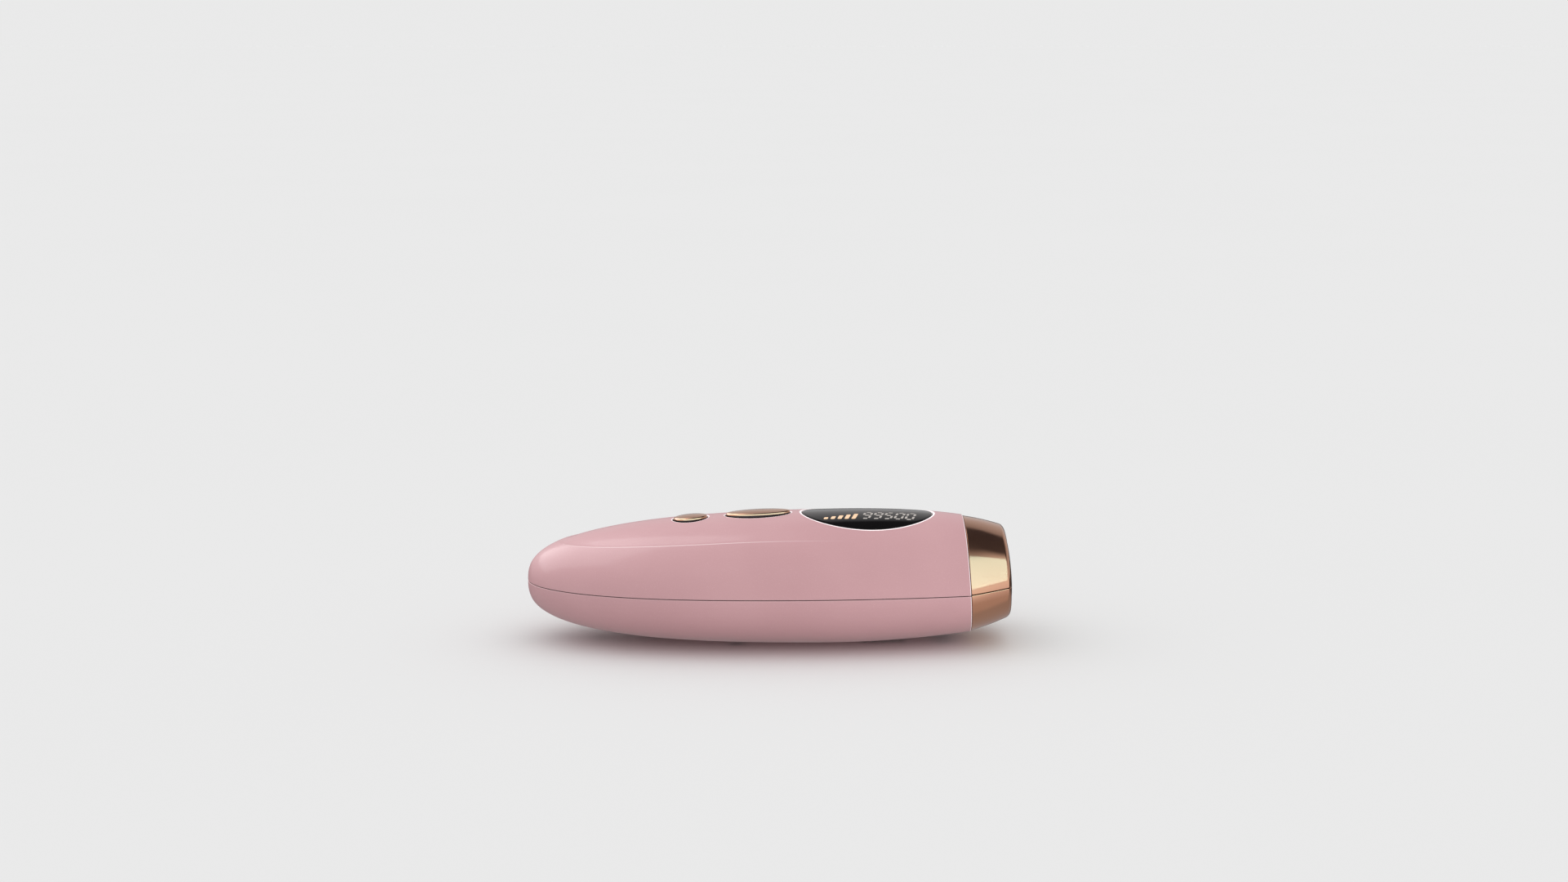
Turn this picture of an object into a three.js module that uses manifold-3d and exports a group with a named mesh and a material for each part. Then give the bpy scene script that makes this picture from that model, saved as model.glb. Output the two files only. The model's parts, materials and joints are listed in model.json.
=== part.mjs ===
// A handheld IPL hair remover: a smooth pod of two moulded shells with a pull-off lamp head.
// Millimetres. +X runs from the tail to the treatment window, +Z is up, and the origin is on the
// belly flat that the handset rests on.
import * as THREE from 'three';
import { mergeVertices } from 'three/addons/utils/BufferGeometryUtils.js';
import Module from 'manifold-3d';

const wasm = await Module();
wasm.setup();

// ---------------------------------------------------------------- driving dimensions

const TAIL_X = -106.5; // the tip of the tail
const SEAM_X = 52.5; // where the lamp head meets the handset, at parting height
const PARTING_Z = 21.85; // height of the joint between the two shells
const PARTING_GAP = 0.3;
const WALL = 2.2;

// Half sizes along the pod, each against the distance from the tail: it swells to `full` at `peak`
// and falls to `seam` at the lamp head.
const HALF_WIDTH = { full: 37.4, peak: 87, swell: 2.55, root: 2, seam: 30, fall: 2 };
const CROWN = { full: 25, peak: 120, swell: 2.3, root: 2.7, seam: 22.9, fall: 2.9 };
const BELLY = { full: 22.1, peak: 106.5, swell: 2.65, root: 2.9, seam: 18.4, fall: 2 };

const HEAD_TILT = THREE.MathUtils.degToRad(3.5); // the head looks slightly upwards
const HEAD_LENGTH = 14.8;
const HEAD_WALL = 1.8;
const HEAD_FILLET = 1.6;
const HEAD_GAP = 0.35;
const HEAD_JOINT = { slope: Math.atan(0.05), start: 0.2 }; // the covers' joint line rises towards the window
const HEAD_AT_SEAM = { halfWidth: 29.8, up: 22.8, down: 18.1 };
const HEAD_AT_RIM = { halfWidth: 24.3, up: 15.7, down: 16.45 };
const HEAD_BULGE = 0.35;
const FACE_CENTRE_Z = 2.7; // centre of the front face above the head's own axis

const WINDOW = { width: 28, height: 11, corner: 1.5 };
const FACE_OPENING = { halfWidth: 19.2, halfHeight: 11.6 }; // what the covers leave open for the frame
const FRAME_CLEARANCE = 0.35;
const FRAME_FACE_X = 15.3;
const SENSOR_Y = 16.35;
const COVER_SCREWS_Z = [16.2, -12.2];

const DISPLAY = { x: 16.5, halfLength: 23.5, halfWidth: 17.5, ledge: 2 };
const LCD_X = 11;
const FLASH_BUTTON = { x: -23, halfLength: 12, halfWidth: 5.4, proud: 1.4, flangeZ: 19.2 };
const POWER_BUTTON = { x: -47.5, halfLength: 6.5, halfWidth: 5.4, proud: 1.3, flangeZ: 18.7 };
const BUTTON_FLANGE = 1.3; // how far a button's flange reaches under the shell
const STEM_RADIUS = 2.2;
const OPENING_GAP = 0.3;
const LENS = { proud: 0.25, thickness: 1.85 };

const CONTROL_BOARD_TOP = 13.6; // heights from here on are above the parting plane
const MAIN_BOARD_TOP = -9.9;
const SWITCH = { side: 6, height: 3.4, boreRadius: 2.1, boreDepth: 2.5 };
const PLUNGER = { radius: 1.7, length: 2.5, top: 4.4 };

const CAPACITOR = { radius: 11, length: 41.5, x: -76.7, y: 11.8, z: -0.5 };
const FAN = { x: 35, side: 30, depth: 10, bore: 14, z: 0.5 };
const JACK = { z: -6, barrelRadius: 3.4, boreRadius: 2.8, mouthX: TAIL_X + 4.2, bodyX: TAIL_X + 8.5 };
const CONTACT = { y: 19, z: 3, pinRadius: 1.2 };
const SHELL_SCREWS = { rear: [-80.5, 0], left: [-31.1, 10], right: [-31.1, -10] };
const SHELL_SCREW_SEAT_Z = -5; // the top of the wells that the shell screws sit in
const VENTS = { x: [15.5, 18.9, 22.3, 25.7, 29.1, 42.2, 45.4], radius: 0.9, reach: 8 };
const BULKHEAD = { back: -6, front: -3.5, screwY: 17, screwUpZ: 10, screwDownZ: -7.6 };
const RIM_FIT = { halfWidth: 27.8, up: 20.2, down: 16 }; // the mouth of the handset less its clearance
const PILOT_RADIUS = 1.5;

const ROUND = 14; // sides of a small round part
const RING = 32; // points around a pod section

// ---------------------------------------------------------------- materials

const material = (color, roughness, metalness = 0) =>
  new THREE.MeshStandardMaterial({ color, roughness, metalness });
const PINK = material(0xdcaab2, 0.25);
const ROSE_GOLD = material(0xb87d5e, 0.18, 1);
const BLACK_GLOSS = material(0x141414, 0.08);
const BLACK_PLASTIC = material(0x1d1d1f, 0.6);
const BOARD = material(0x1c5a35, 0.45);
const STEEL = material(0xb9bbbe, 0.3, 1);
const ALUMINIUM = material(0xc8cacc, 0.25, 1);
const FERRITE = material(0x33322f, 0.7);
const COPPER = material(0xa8652f, 0.4, 1);
const GLASS = material(0xd9a36a, 0.05);
const QUARTZ = material(0xe8eef2, 0.03);
const CERAMIC = material(0xe9e4d8, 0.5);
const SLEEVE_BLUE = material(0x1f2f55, 0.4);
const LCD = material(0x3f4a45, 0.15);
const RED_WIRE = material(0xb01818, 0.45);
const BLACK_WIRE = material(0x171717, 0.45);
const RIBBON = material(0xd8d3c4, 0.5);

// ---------------------------------------------------------------- solids

// A closed three.js geometry as a manifold-3d solid with its faces pointing out.
function solid(geometry) {
  const bare = new THREE.BufferGeometry();
  const unshared = geometry.index ? geometry.toNonIndexed() : geometry;
  bare.setAttribute('position', unshared.getAttribute('position'));
  const merged = mergeVertices(bare, 1e-3);
  const vertProperties = merged.attributes.position.array;
  const kept = [];
  for (let i = 0; i < merged.index.count; i += 3) {
    const [a, b, c] = merged.index.array.slice(i, i + 3);
    if (a !== b && b !== c && c !== a) kept.push(a, b, c);
  }
  const make = (triangles) =>
    new wasm.Manifold(new wasm.Mesh({ numProp: 3, vertProperties, triVerts: Uint32Array.from(triangles) }));
  const made = make(kept);
  return made.volume() > 0 ? made : make(kept.reverse());
}

function geometryOf(made) {
  const { vertProperties, triVerts } = made.getMesh();
  const geometry = new THREE.BufferGeometry();
  geometry.setAttribute('position', new THREE.BufferAttribute(vertProperties, 3));
  geometry.setIndex(new THREE.BufferAttribute(triVerts, 1));
  return geometry;
}

// One named piece, placed in its parent by position and rotation.
function piece(parent, name, made, look, { at = [0, 0, 0], turn = [0, 0, 0] } = {}) {
  const mesh = new THREE.Mesh(geometryOf(made), look);
  mesh.name = name;
  mesh.position.set(...at);
  mesh.rotation.set(...turn);
  parent.add(mesh);
}

const union = (...parts) => parts.reduce((whole, next) => whole.add(next));

// A box between two opposite corners.
function box([x0, y0, z0], [x1, y1, z1]) {
  const geometry = new THREE.BoxGeometry(x1 - x0, y1 - y0, z1 - z0);
  return solid(geometry.translate((x0 + x1) / 2, (y0 + y1) / 2, (z0 + z1) / 2));
}

// A cylinder of the given radius between two ends along one axis, through a point on the other two.
function rod(axis, radius, from, to, [u, v] = [0, 0], sides = ROUND) {
  const geometry = new THREE.CylinderGeometry(radius, radius, to - from, sides);
  geometry.translate(0, (from + to) / 2, 0);
  if (axis === 'x') geometry.rotateZ(-Math.PI / 2).translate(0, u, v);
  if (axis === 'y') geometry.translate(u, 0, v);
  if (axis === 'z') geometry.rotateX(Math.PI / 2).translate(u, v, 0);
  return solid(geometry);
}

const extruded = (outline, depth, curveSegments) =>
  new THREE.ExtrudeGeometry(outline, { depth, bevelEnabled: false, curveSegments });

// An upright or forward-facing column with an elliptic outline.
function ellipticColumn(axis, [cu, cv], halfU, halfV, from, to, sides = RING) {
  const outline = new THREE.Shape().absellipse(0, 0, halfU, halfV, 0, Math.PI * 2);
  const geometry = extruded(outline, to - from, sides / 2);
  if (axis === 'z') return solid(geometry.translate(cu, cv, from));
  return solid(geometry.rotateX(Math.PI / 2).rotateZ(Math.PI / 2).translate(from, cu, cv));
}

// A rounded rectangle in y and z, standing along x.
function roundedSlab(width, height, corner, from, to, centreZ = 0) {
  const w = width / 2;
  const h = height / 2;
  const outline = new THREE.Shape()
    .moveTo(-w + corner, -h)
    .lineTo(w - corner, -h)
    .absarc(w - corner, -h + corner, corner, -Math.PI / 2, 0)
    .lineTo(w, h - corner)
    .absarc(w - corner, h - corner, corner, 0, Math.PI / 2)
    .lineTo(-w + corner, h)
    .absarc(-w + corner, h - corner, corner, Math.PI / 2, Math.PI)
    .lineTo(-w, -h + corner)
    .absarc(-w + corner, -h + corner, corner, Math.PI, Math.PI * 1.5);
  const geometry = extruded(outline, to - from, 4);
  return solid(geometry.rotateX(Math.PI / 2).rotateZ(Math.PI / 2).translate(from, 0, centreZ));
}

// A solid of revolution about x from [distance along x, radius] pairs that start and end on the axis.
function turned(pairs, sides = ROUND) {
  const profile = pairs.map(([x, r]) => new THREE.Vector2(r, x));
  return solid(new THREE.LatheGeometry(profile, sides).rotateZ(-Math.PI / 2));
}

// A round wire through the given points.
function wire(points, radius, steps = 16, sides = 6) {
  const path = new THREE.CatmullRomCurve3(points.map((p) => new THREE.Vector3(...p)));
  const outline = new THREE.Shape().absarc(0, 0, radius, 0, Math.PI * 2);
  const options = { steps, extrudePath: path, bevelEnabled: false, curveSegments: sides / 2 };
  return solid(new THREE.ExtrudeGeometry(outline, options));
}

// ---------------------------------------------------------------- the pod's form

// A half size at a distance from the tail, for a skin set in from the outside by `inset`.
function halfSize(form, distance, inset) {
  const along = Math.max(0, distance - inset);
  const seamAt = SEAM_X - TAIL_X;
  const size =
    along < form.peak
      ? form.full * (1 - (1 - along / form.peak) ** form.swell) ** (1 / form.root)
      : form.full - (form.full - form.seam) * ((along - form.peak) / (seamAt - form.peak)) ** form.fall;
  return (size * (form.full - inset)) / form.full;
}

// A closed ring in the plane at x: an ellipse whose upper and lower halves have their own heights.
function ring(x, halfWidth, up, down, level) {
  return Array.from({ length: RING }, (_, i) => {
    const angle = (i / RING) * Math.PI * 2;
    const rise = Math.sin(angle);
    return new THREE.Vector3(x, -halfWidth * Math.cos(angle), level + rise * (rise > 0 ? up : down));
  });
}

// A closed skin through rings, with a flat cap or a point at each end.
function loft(rings, firstPoint = null) {
  const points = rings.flat();
  const faces = [];
  const cap = (start, centre, flip) => {
    points.push(centre);
    for (let i = 0; i < RING; i++) {
      const [a, b] = [start + i, start + ((i + 1) % RING)];
      faces.push(...(flip ? [b, a] : [a, b]), points.length - 1);
    }
  };
  for (let r = 0; r + 1 < rings.length; r++) {
    for (let i = 0; i < RING; i++) {
      const j = (i + 1) % RING;
      const [a, b, c, d] = [r * RING + i, r * RING + j, (r + 1) * RING + i, (r + 1) * RING + j];
      faces.push(a, c, b, b, c, d);
    }
  }
  const middle = (points) => points.reduce((sum, p) => sum.add(p), new THREE.Vector3()).divideScalar(RING);
  cap(0, firstPoint ?? middle(rings[0]), false);
  cap((rings.length - 1) * RING, middle(rings.at(-1)), true);
  const geometry = new THREE.BufferGeometry().setFromPoints(points);
  geometry.setIndex(faces);
  return solid(geometry);
}

// Stations grow apart from the tail, where the pod curves fastest, and run past the head seam.
function pod(inset) {
  const steps = 13;
  const reach = SEAM_X - TAIL_X + 4 - inset;
  const rings = Array.from({ length: steps }, (_, i) => {
    const distance = inset + reach * ((i + 1) / steps) ** 1.9;
    return ring(
      TAIL_X + distance,
      halfSize(HALF_WIDTH, distance, inset),
      halfSize(CROWN, distance, inset),
      halfSize(BELLY, distance, inset),
      PARTING_Z,
    );
  });
  return loft(rings, new THREE.Vector3(TAIL_X + inset, 0, PARTING_Z));
}

const outerSkin = pod(0);
const cavity = pod(WALL);

// The head's own frame: x along the pull-off direction, origin on the seam at parting height.
const headFrame = new THREE.Matrix4()
  .makeTranslation(SEAM_X, 0, PARTING_Z)
  .multiply(new THREE.Matrix4().makeRotationY(-HEAD_TILT));
const inHeadFrame = (made) => solid(geometryOf(made).applyMatrix4(headFrame));

const aboveParting = (z) => PARTING_Z + z;

// ---------------------------------------------------------------- shells

const FAR = 200;
const beyondSeam = inHeadFrame(box([0, -FAR, -FAR], [FAR, FAR, FAR]));
const shellBlank = outerSkin.subtract(cavity).subtract(beyondSeam);

// A boss or web inside a shell, trimmed to the skin.
const insideSkin = (made) => made.intersect(outerSkin).subtract(beyondSeam);

// The bosses that take the bulkhead's screws, on one side of the parting plane, each with a web to the skin.
function bulkheadBosses(z) {
  const front = BULKHEAD.back - 0.3;
  const back = front - 5.2;
  const pairs = [1, -1].map((side) => {
    const boss = rod('x', 3.2, back, front, [side * BULKHEAD.screwY, z]);
    const lean = Math.atan2(z, side * BULKHEAD.screwY);
    const web = geometryOf(box([back, 1, -0.9], [front, 12, 0.9])).rotateX(lean);
    return boss.add(solid(web.translate(0, side * BULKHEAD.screwY, z)));
  });
  return insideSkin(inHeadFrame(union(...pairs)));
}

function bulkheadPilotHoles(z) {
  const holes = [1, -1].map((side) => rod('x', PILOT_RADIUS, -13, 0, [side * BULKHEAD.screwY, z], 16));
  return inHeadFrame(union(...holes));
}

// A column over a button or the display, from `from` above the parting plane, wider by `extra` all round.
const columnOver = ({ x, halfLength, halfWidth }, extra = 0, from = 10) =>
  ellipticColumn('z', [x, 0], halfLength + extra, halfWidth + extra, aboveParting(from), FAR);

function buildUpperShell() {
  const skirt = columnOver(DISPLAY, DISPLAY.ledge, 18.5);
  const pocket = columnOver(DISPLAY, OPENING_GAP).subtract(pod(LENS.thickness - LENS.proud + OPENING_GAP));
  const screwBosses = Object.values(SHELL_SCREWS).map((place) =>
    insideSkin(union(rod('z', 3, PARTING_Z, aboveParting(17), place), rod('z', 2.4, PARTING_Z, FAR, place))),
  );
  const boardPosts = [
    [-55.5, 9],
    [-55.5, -9],
    [25, 17.5],
    [25, -17.5],
  ].map(([x, y]) => insideSkin(rod('z', 2, aboveParting(CONTROL_BOARD_TOP + 0.1), FAR, [x, y], 16)));
  const bosses = [...screwBosses, ...boardPosts, bulkheadBosses(BULKHEAD.screwUpZ)];
  return union(shellBlank, insideSkin(skirt), ...bosses)
    .intersect(box([-FAR, -FAR, aboveParting(PARTING_GAP / 2)], [FAR, FAR, FAR]))
    .subtract(pocket)
    .subtract(columnOver(DISPLAY, -DISPLAY.ledge))
    .subtract(columnOver(FLASH_BUTTON))
    .subtract(columnOver(POWER_BUTTON))
    .subtract(screwPilots())
    .subtract(bulkheadPilotHoles(BULKHEAD.screwUpZ));
}

function screwPilots() {
  const [from, to] = [aboveParting(-1), aboveParting(9)];
  return union(...Object.values(SHELL_SCREWS).map((place) => rod('z', PILOT_RADIUS, from, to, place, 16)));
}

function buildLowerShell() {
  const floor = box([-FAR, -FAR, 0], [FAR, FAR, PARTING_Z - PARTING_GAP / 2]);
  const places = Object.values(SHELL_SCREWS);
  const screwBosses = places.map((place) => insideSkin(rod('z', 3.4, -FAR, PARTING_Z, place)));
  const screwWells = places.map((place) => {
    const well = rod('z', 2.6, -FAR, aboveParting(SHELL_SCREW_SEAT_Z), place);
    return well.add(rod('z', PILOT_RADIUS, -FAR, FAR, place, 16));
  });
  const vents = VENTS.x.map((x) => ventSlot(x));
  const cradles = [-68, -43].map((x) => capacitorCradle(x));
  const boardPosts = MAIN_BOARD_PEGS.map((place) =>
    insideSkin(
      union(
        rod('z', 2.6, -FAR, aboveParting(MAIN_BOARD_TOP - 1.7), place, 16),
        rod('z', 1.1, -FAR, aboveParting(MAIN_BOARD_TOP + 0.8), place, 12),
      ),
    ),
  );
  const jackHole = rod('x', JACK.barrelRadius + 0.35, TAIL_X - 2, TAIL_X + 9, [0, aboveParting(JACK.z)]);
  return union(shellBlank, ...screwBosses, ...cradles, ...boardPosts, bulkheadBosses(BULKHEAD.screwDownZ))
    .intersect(floor)
    .subtract(union(...screwWells, ...vents))
    .subtract(jackHole)
    .subtract(bulkheadPilotHoles(BULKHEAD.screwDownZ));
}

// A slot through the belly with round ends.
function ventSlot(x) {
  const { radius, reach } = VENTS;
  const [below, above] = [-5, 8];
  return union(
    box([x - radius, -reach, below], [x + radius, reach, above]),
    rod('z', radius, below, above, [x, reach], 8),
    rod('z', radius, below, above, [x, -reach], 8),
  );
}

// A rib shaped to two capacitors, notched for the supply wires.
function capacitorCradle(x) {
  const rib = insideSkin(box([x - 1, -FAR, 0], [x + 1, FAR, aboveParting(-5)]));
  const cans = [1, -1].map((side) =>
    rod('x', CAPACITOR.radius + 0.4, x - 2, x + 2, [side * CAPACITOR.y, aboveParting(CAPACITOR.z)], 32),
  );
  return rib.subtract(union(...cans)).subtract(box([x - 2, -4, aboveParting(-12)], [x + 2, 4, FAR]));
}

// ---------------------------------------------------------------- buttons and display

// A cap that stands proud of the crown, with a flange under the shell and a stem down to its switch.
function buildButton(button) {
  const cap = columnOver(button, -OPENING_GAP, button.flangeZ).intersect(pod(-button.proud));
  const flange = columnOver(button, BUTTON_FLANGE, button.flangeZ).intersect(pod(WALL + OPENING_GAP));
  const stemBottom = CONTROL_BOARD_TOP + PLUNGER.top + 0.1;
  const stemTop = button.flangeZ + 0.2;
  const stem = rod('z', STEM_RADIUS, aboveParting(stemBottom), aboveParting(stemTop), [button.x, 0]);
  return union(cap, flange, stem);
}

function buildSwitchBody() {
  const s = SWITCH.side / 2;
  return box([-s, -s, 0.1], [s, s, SWITCH.height]).subtract(
    rod('z', SWITCH.boreRadius, SWITCH.height - SWITCH.boreDepth, SWITCH.height + 1),
  );
}

const buildPlunger = () => rod('z', PLUNGER.radius, PLUNGER.top - PLUNGER.length, PLUNGER.top);

const buildDisplayLens = () =>
  columnOver(DISPLAY)
    .intersect(pod(-LENS.proud))
    .subtract(pod(LENS.thickness - LENS.proud));

function addDisplay(handset) {
  const at = [LCD_X, 0, aboveParting(CONTROL_BOARD_TOP + 0.1)];
  piece(handset, 'display_lens', buildDisplayLens(), BLACK_GLOSS);
  const frame = box([-17, -11, 0], [17, 11, 4.3]).subtract(box([-15.5, -9.5, 1.2], [15.5, 9.5, 5]));
  piece(handset, 'lcd_frame', frame, BLACK_PLASTIC, { at });
  piece(handset, 'lcd_panel', box([-15.3, -9.3, 1.4], [15.3, 9.3, 3.6]), LCD, { at });
}

function addControlBoard(handset) {
  const thickness = 1.2;
  const narrow = box([-58.5, -13, -thickness], [-10, 13, 0]);
  const wide = box([-14, -20, -thickness], [29, 20, 0]);
  const notches = Object.values(SHELL_SCREWS).map((place) => rod('z', 3.6, -3, 3, place));
  const board = narrow.add(wide).subtract(union(...notches));
  piece(handset, 'control_board', board, BOARD, { at: [0, 0, aboveParting(CONTROL_BOARD_TOP)] });
}

// ---------------------------------------------------------------- power electronics

// The lower shell's pegs, whose tips are melted over to hold the main board.
const MAIN_BOARD_PEGS = [
  [-12, 18],
  [-12, -18],
  [23, 17],
  [23, -17],
];

function addMainBoard(handset) {
  const holes = MAIN_BOARD_PEGS.map((place) => rod('z', 1.5, -3, 3, place, 16));
  const board = box([-26.5, -21, -1.6], [28.5, 21, 0]).subtract(union(...holes));
  const top = aboveParting(MAIN_BOARD_TOP);
  piece(handset, 'main_board', board, BOARD, { at: [0, 0, top] });

  const core = box([-11, -7, 0], [11, 7, 18])
    .subtract(box([-8, -8, 3.5], [-3.5, 8, 14.5]))
    .subtract(box([3.5, -8, 3.5], [8, 8, 14.5]));
  piece(handset, 'transformer_core', core, FERRITE, { at: [-13, -6, top + 0.1] });
  const winding = box([-7.7, -10.5, 3.8], [7.7, 10.5, 14.2]).subtract(box([-3.8, -7.3, 3], [3.8, 7.3, 15]));
  piece(handset, 'transformer_winding', winding, COPPER, { at: [-13, -6, top + 0.1] });

  const legs = [-5.4, 0, 5.4].map((x) => box([x - 0.6, -0.3, 0], [x + 0.6, 0.3, 5]));
  const transistor = union(box([-7.8, -2.4, 4], [7.8, 2.4, 20]), ...legs);
  piece(handset, 'power_transistor', transistor, BLACK_PLASTIC, { at: [12, 6, top + 0.1] });
  piece(handset, 'heat_sink', heatSinkSolid(), ALUMINIUM, { at: [12, 8.6, top + 0.1] });
  piece(handset, 'trigger_coil', triggerCoilSolid(), BLACK_PLASTIC, { at: [16, -8, top + 0.1] });
}

// A back plate with upright fins.
function heatSinkSolid() {
  const plate = box([-9, 0, 2], [9, 2, 20]);
  const fins = [-8.4, -4.2, 0, 4.2, 8.4].map((x) => box([x - 0.6, 1, 2], [x + 0.6, 8, 20]));
  return union(plate, ...fins);
}

function triggerCoilSolid() {
  return union(rod('z', 5.5, 0, 1.6), rod('z', 4.4, 1, 11), rod('z', 5.5, 10.4, 12));
}

// A can with a crimp groove near its lead end and a raised rim on its vent end.
function capacitorSolid() {
  const { radius: r, length } = CAPACITOR;
  return turned(
    [
      [0, 0],
      [0, r - 0.8],
      [0.8, r],
      [2.6, r],
      [3.4, r - 0.8],
      [4.2, r],
      [length - 0.8, r],
      [length, r - 0.8],
      [length, 0],
    ],
    32,
  );
}

function addCapacitors(handset) {
  for (const [name, side] of Object.entries({ capacitor_left: 1, capacitor_right: -1 })) {
    const at = [CAPACITOR.x, side * CAPACITOR.y, aboveParting(CAPACITOR.z)];
    piece(handset, name, capacitorSolid(), SLEEVE_BLUE, { at });
  }
}

function addPowerInlet(handset) {
  const z = aboveParting(JACK.z);
  const bodyEnd = JACK.bodyX + 12;
  const bore = rod('x', JACK.boreRadius, JACK.mouthX - 1, bodyEnd - 2, [0, z]);
  const body = union(
    box([JACK.bodyX, -4.2, z - 3.5], [bodyEnd, 4.2, z + 4.9]),
    rod('x', JACK.barrelRadius, JACK.mouthX, JACK.bodyX + 1, [0, z]),
  );
  const seat = rod('x', 1.05, bodyEnd - 3, bodyEnd + 1, [0, z], 16);
  piece(handset, 'power_jack', body.subtract(bore).subtract(seat), BLACK_PLASTIC);
  piece(handset, 'power_jack_pin', rod('x', 0.95, JACK.mouthX + 1.2, bodyEnd + 0.6, [0, z], 16), STEEL);
}

function addWires(handset) {
  const jackEnd = JACK.bodyX + 12.7;
  const supply = (side) =>
    wire(
      [
        [jackEnd, side * 3, aboveParting(-6.4)],
        [-82.5, side * 5.4, aboveParting(-8.5)],
        [-76, side * 4.4, aboveParting(-10.4)],
        [-70, side * 2, aboveParting(-9.8)],
        [-41, side * 2, aboveParting(-9.8)],
        [-34, side * 5, aboveParting(-9.3)],
        [-27, side * 5.2, aboveParting(-9.4)],
      ],
      0.7,
    );
  piece(handset, 'supply_wire_red', supply(1), RED_WIRE);
  piece(handset, 'supply_wire_black', supply(-1), BLACK_WIRE);
  const lampFeed = (side) =>
    wire(
      [
        [25, side * 20.4, aboveParting(-8.7)],
        [29.5, side * 20.6, aboveParting(-7.5)],
        [33, side * 20, aboveParting(-1)],
        [36.5, side * 19, aboveParting(1.9)],
        [38.6, side * 19, aboveParting(2.1)],
      ],
      0.9,
      12,
    );
  piece(handset, 'lamp_wire_left', lampFeed(1), RED_WIRE);
  piece(handset, 'lamp_wire_right', lampFeed(-1), BLACK_WIRE);
  piece(handset, 'ribbon_cable', ribbonSolid(), RIBBON);
}

// A flat cable that hangs from the control board's edge and bends in to the main board.
function ribbonSolid() {
  const strip = new THREE.Shape()
    .moveTo(13.4, 12.9)
    .lineTo(17, 12.9)
    .absarc(17, 10.4, 2.5, Math.PI / 2, 0, true)
    .lineTo(19.5, -7)
    .absarc(17.5, -7, 2, 0, -Math.PI / 2, true)
    .lineTo(14.5, -9)
    .lineTo(14.5, -9.4)
    .lineTo(17.5, -9.4)
    .absarc(17.5, -7, 2.4, -Math.PI / 2, 0)
    .lineTo(19.9, 10.4)
    .absarc(17, 10.4, 2.9, 0, Math.PI / 2)
    .lineTo(13.4, 13.3);
  const geometry = extruded(strip, 9, 6);
  return solid(geometry.rotateX(Math.PI / 2).rotateZ(Math.PI / 2).translate(-26, 0, PARTING_Z));
}

// ---------------------------------------------------------------- screws

// A pan-head screw along -x from the underside of its head at x = 0, with a cross recess.
function screwSolid({ headRadius, headHeight, shankRadius, length }) {
  const body = turned([
    [-length, 0],
    [-length, shankRadius * 0.5],
    [-length + 0.8, shankRadius],
    [0, shankRadius],
    [0, headRadius],
    [headHeight * 0.6, headRadius],
    [headHeight, headRadius * 0.7],
    [headHeight, 0],
  ], 10);
  const arm = headRadius * 0.6;
  const slot = (y, z) => box([headHeight - 0.7, -y, -z], [headHeight + 1, y, z]);
  return body.subtract(slot(arm, 0.25)).subtract(slot(0.25, arm));
}

function addShellScrews(handset) {
  const screw = screwSolid({ headRadius: 2.2, headHeight: 1.6, shankRadius: 1.1, length: 11 });
  for (const [place, [x, y]] of Object.entries(SHELL_SCREWS)) {
    const at = [x, y, aboveParting(SHELL_SCREW_SEAT_Z - 0.3)];
    piece(handset, `shell_screw_${place}`, screw, STEEL, { at, turn: [0, Math.PI / 2, 0] });
  }
}

// ---------------------------------------------------------------- fan

function fanFrameSolid() {
  const { side, depth, bore } = FAN;
  const half = depth / 2;
  const corner = side / 2 - 3;
  const holes = [
    [corner, corner],
    [-corner, corner],
    [-corner, -corner],
    [corner, -corner],
  ].map(([y, z]) => rod('x', 1.6, -half - 1, half + 1, [y, z], 16));
  const duct = rod('x', bore, -half - 1, half + 1, [0, 0], 32);
  const shroud = roundedSlab(side, side, 2.5, -half, half).subtract(union(duct, ...holes));
  const spokes = [0, 1, 2].map((i) => {
    const arm = geometryOf(box([half - 1.3, -0.9, 0], [half - 0.1, 0.9, bore + 0.5]));
    return solid(arm.rotateX((i * 2 * Math.PI) / 3));
  });
  return union(shroud, rod('x', 6.4, half - 1.3, half - 0.1), ...spokes);
}

// A cup over the stator with tilted blades around it.
function fanRotorSolid() {
  const cup = turned([
    [-4.4, 0],
    [-4.4, 6.4],
    [-3.8, 7],
    [2.8, 7],
    [2.8, 5.5],
    [-3.2, 5.5],
    [-3.2, 0],
  ]).subtract(rod('x', 0.9, -6, 0, [0, 0], 12));
  const count = 7;
  const bladePitch = THREE.MathUtils.degToRad(50);
  const blades = Array.from({ length: count }, (_, i) => {
    const blade = new THREE.BoxGeometry(0.8, 5.6, 6.7).rotateZ(bladePitch).translate(-0.8, 0, 10);
    return solid(blade.rotateX((i * 2 * Math.PI) / count));
  });
  return union(cup, ...blades);
}

function fanStatorSolid() {
  const sleeve = turned([
    [-2.2, 0],
    [-2.2, 4.7],
    [3.5, 4.7],
    [3.5, 0],
  ]);
  return sleeve.subtract(rod('x', 1.1, -4, 2.6, [0, 0], 12));
}

function addFan(handset) {
  const fan = new THREE.Group();
  fan.position.set(FAN.x, 0, aboveParting(FAN.z));
  handset.add(fan);
  piece(fan, 'fan_frame', fanFrameSolid(), BLACK_PLASTIC);
  piece(fan, 'fan_stator', fanStatorSolid(), COPPER);
  piece(fan, 'fan_rotor', fanRotorSolid(), BLACK_PLASTIC);
  piece(fan, 'fan_shaft', rod('x', 0.8, -4.2, 2.2, [0, 0], 12), STEEL);
}

// ---------------------------------------------------------------- bulkhead and head contacts

function rimPlate(from, to, inset = 0) {
  const { halfWidth, up, down } = RIM_FIT;
  return loft([from, to].map((x) => ring(x, halfWidth - inset, up - inset, down - inset, 0)));
}

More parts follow.
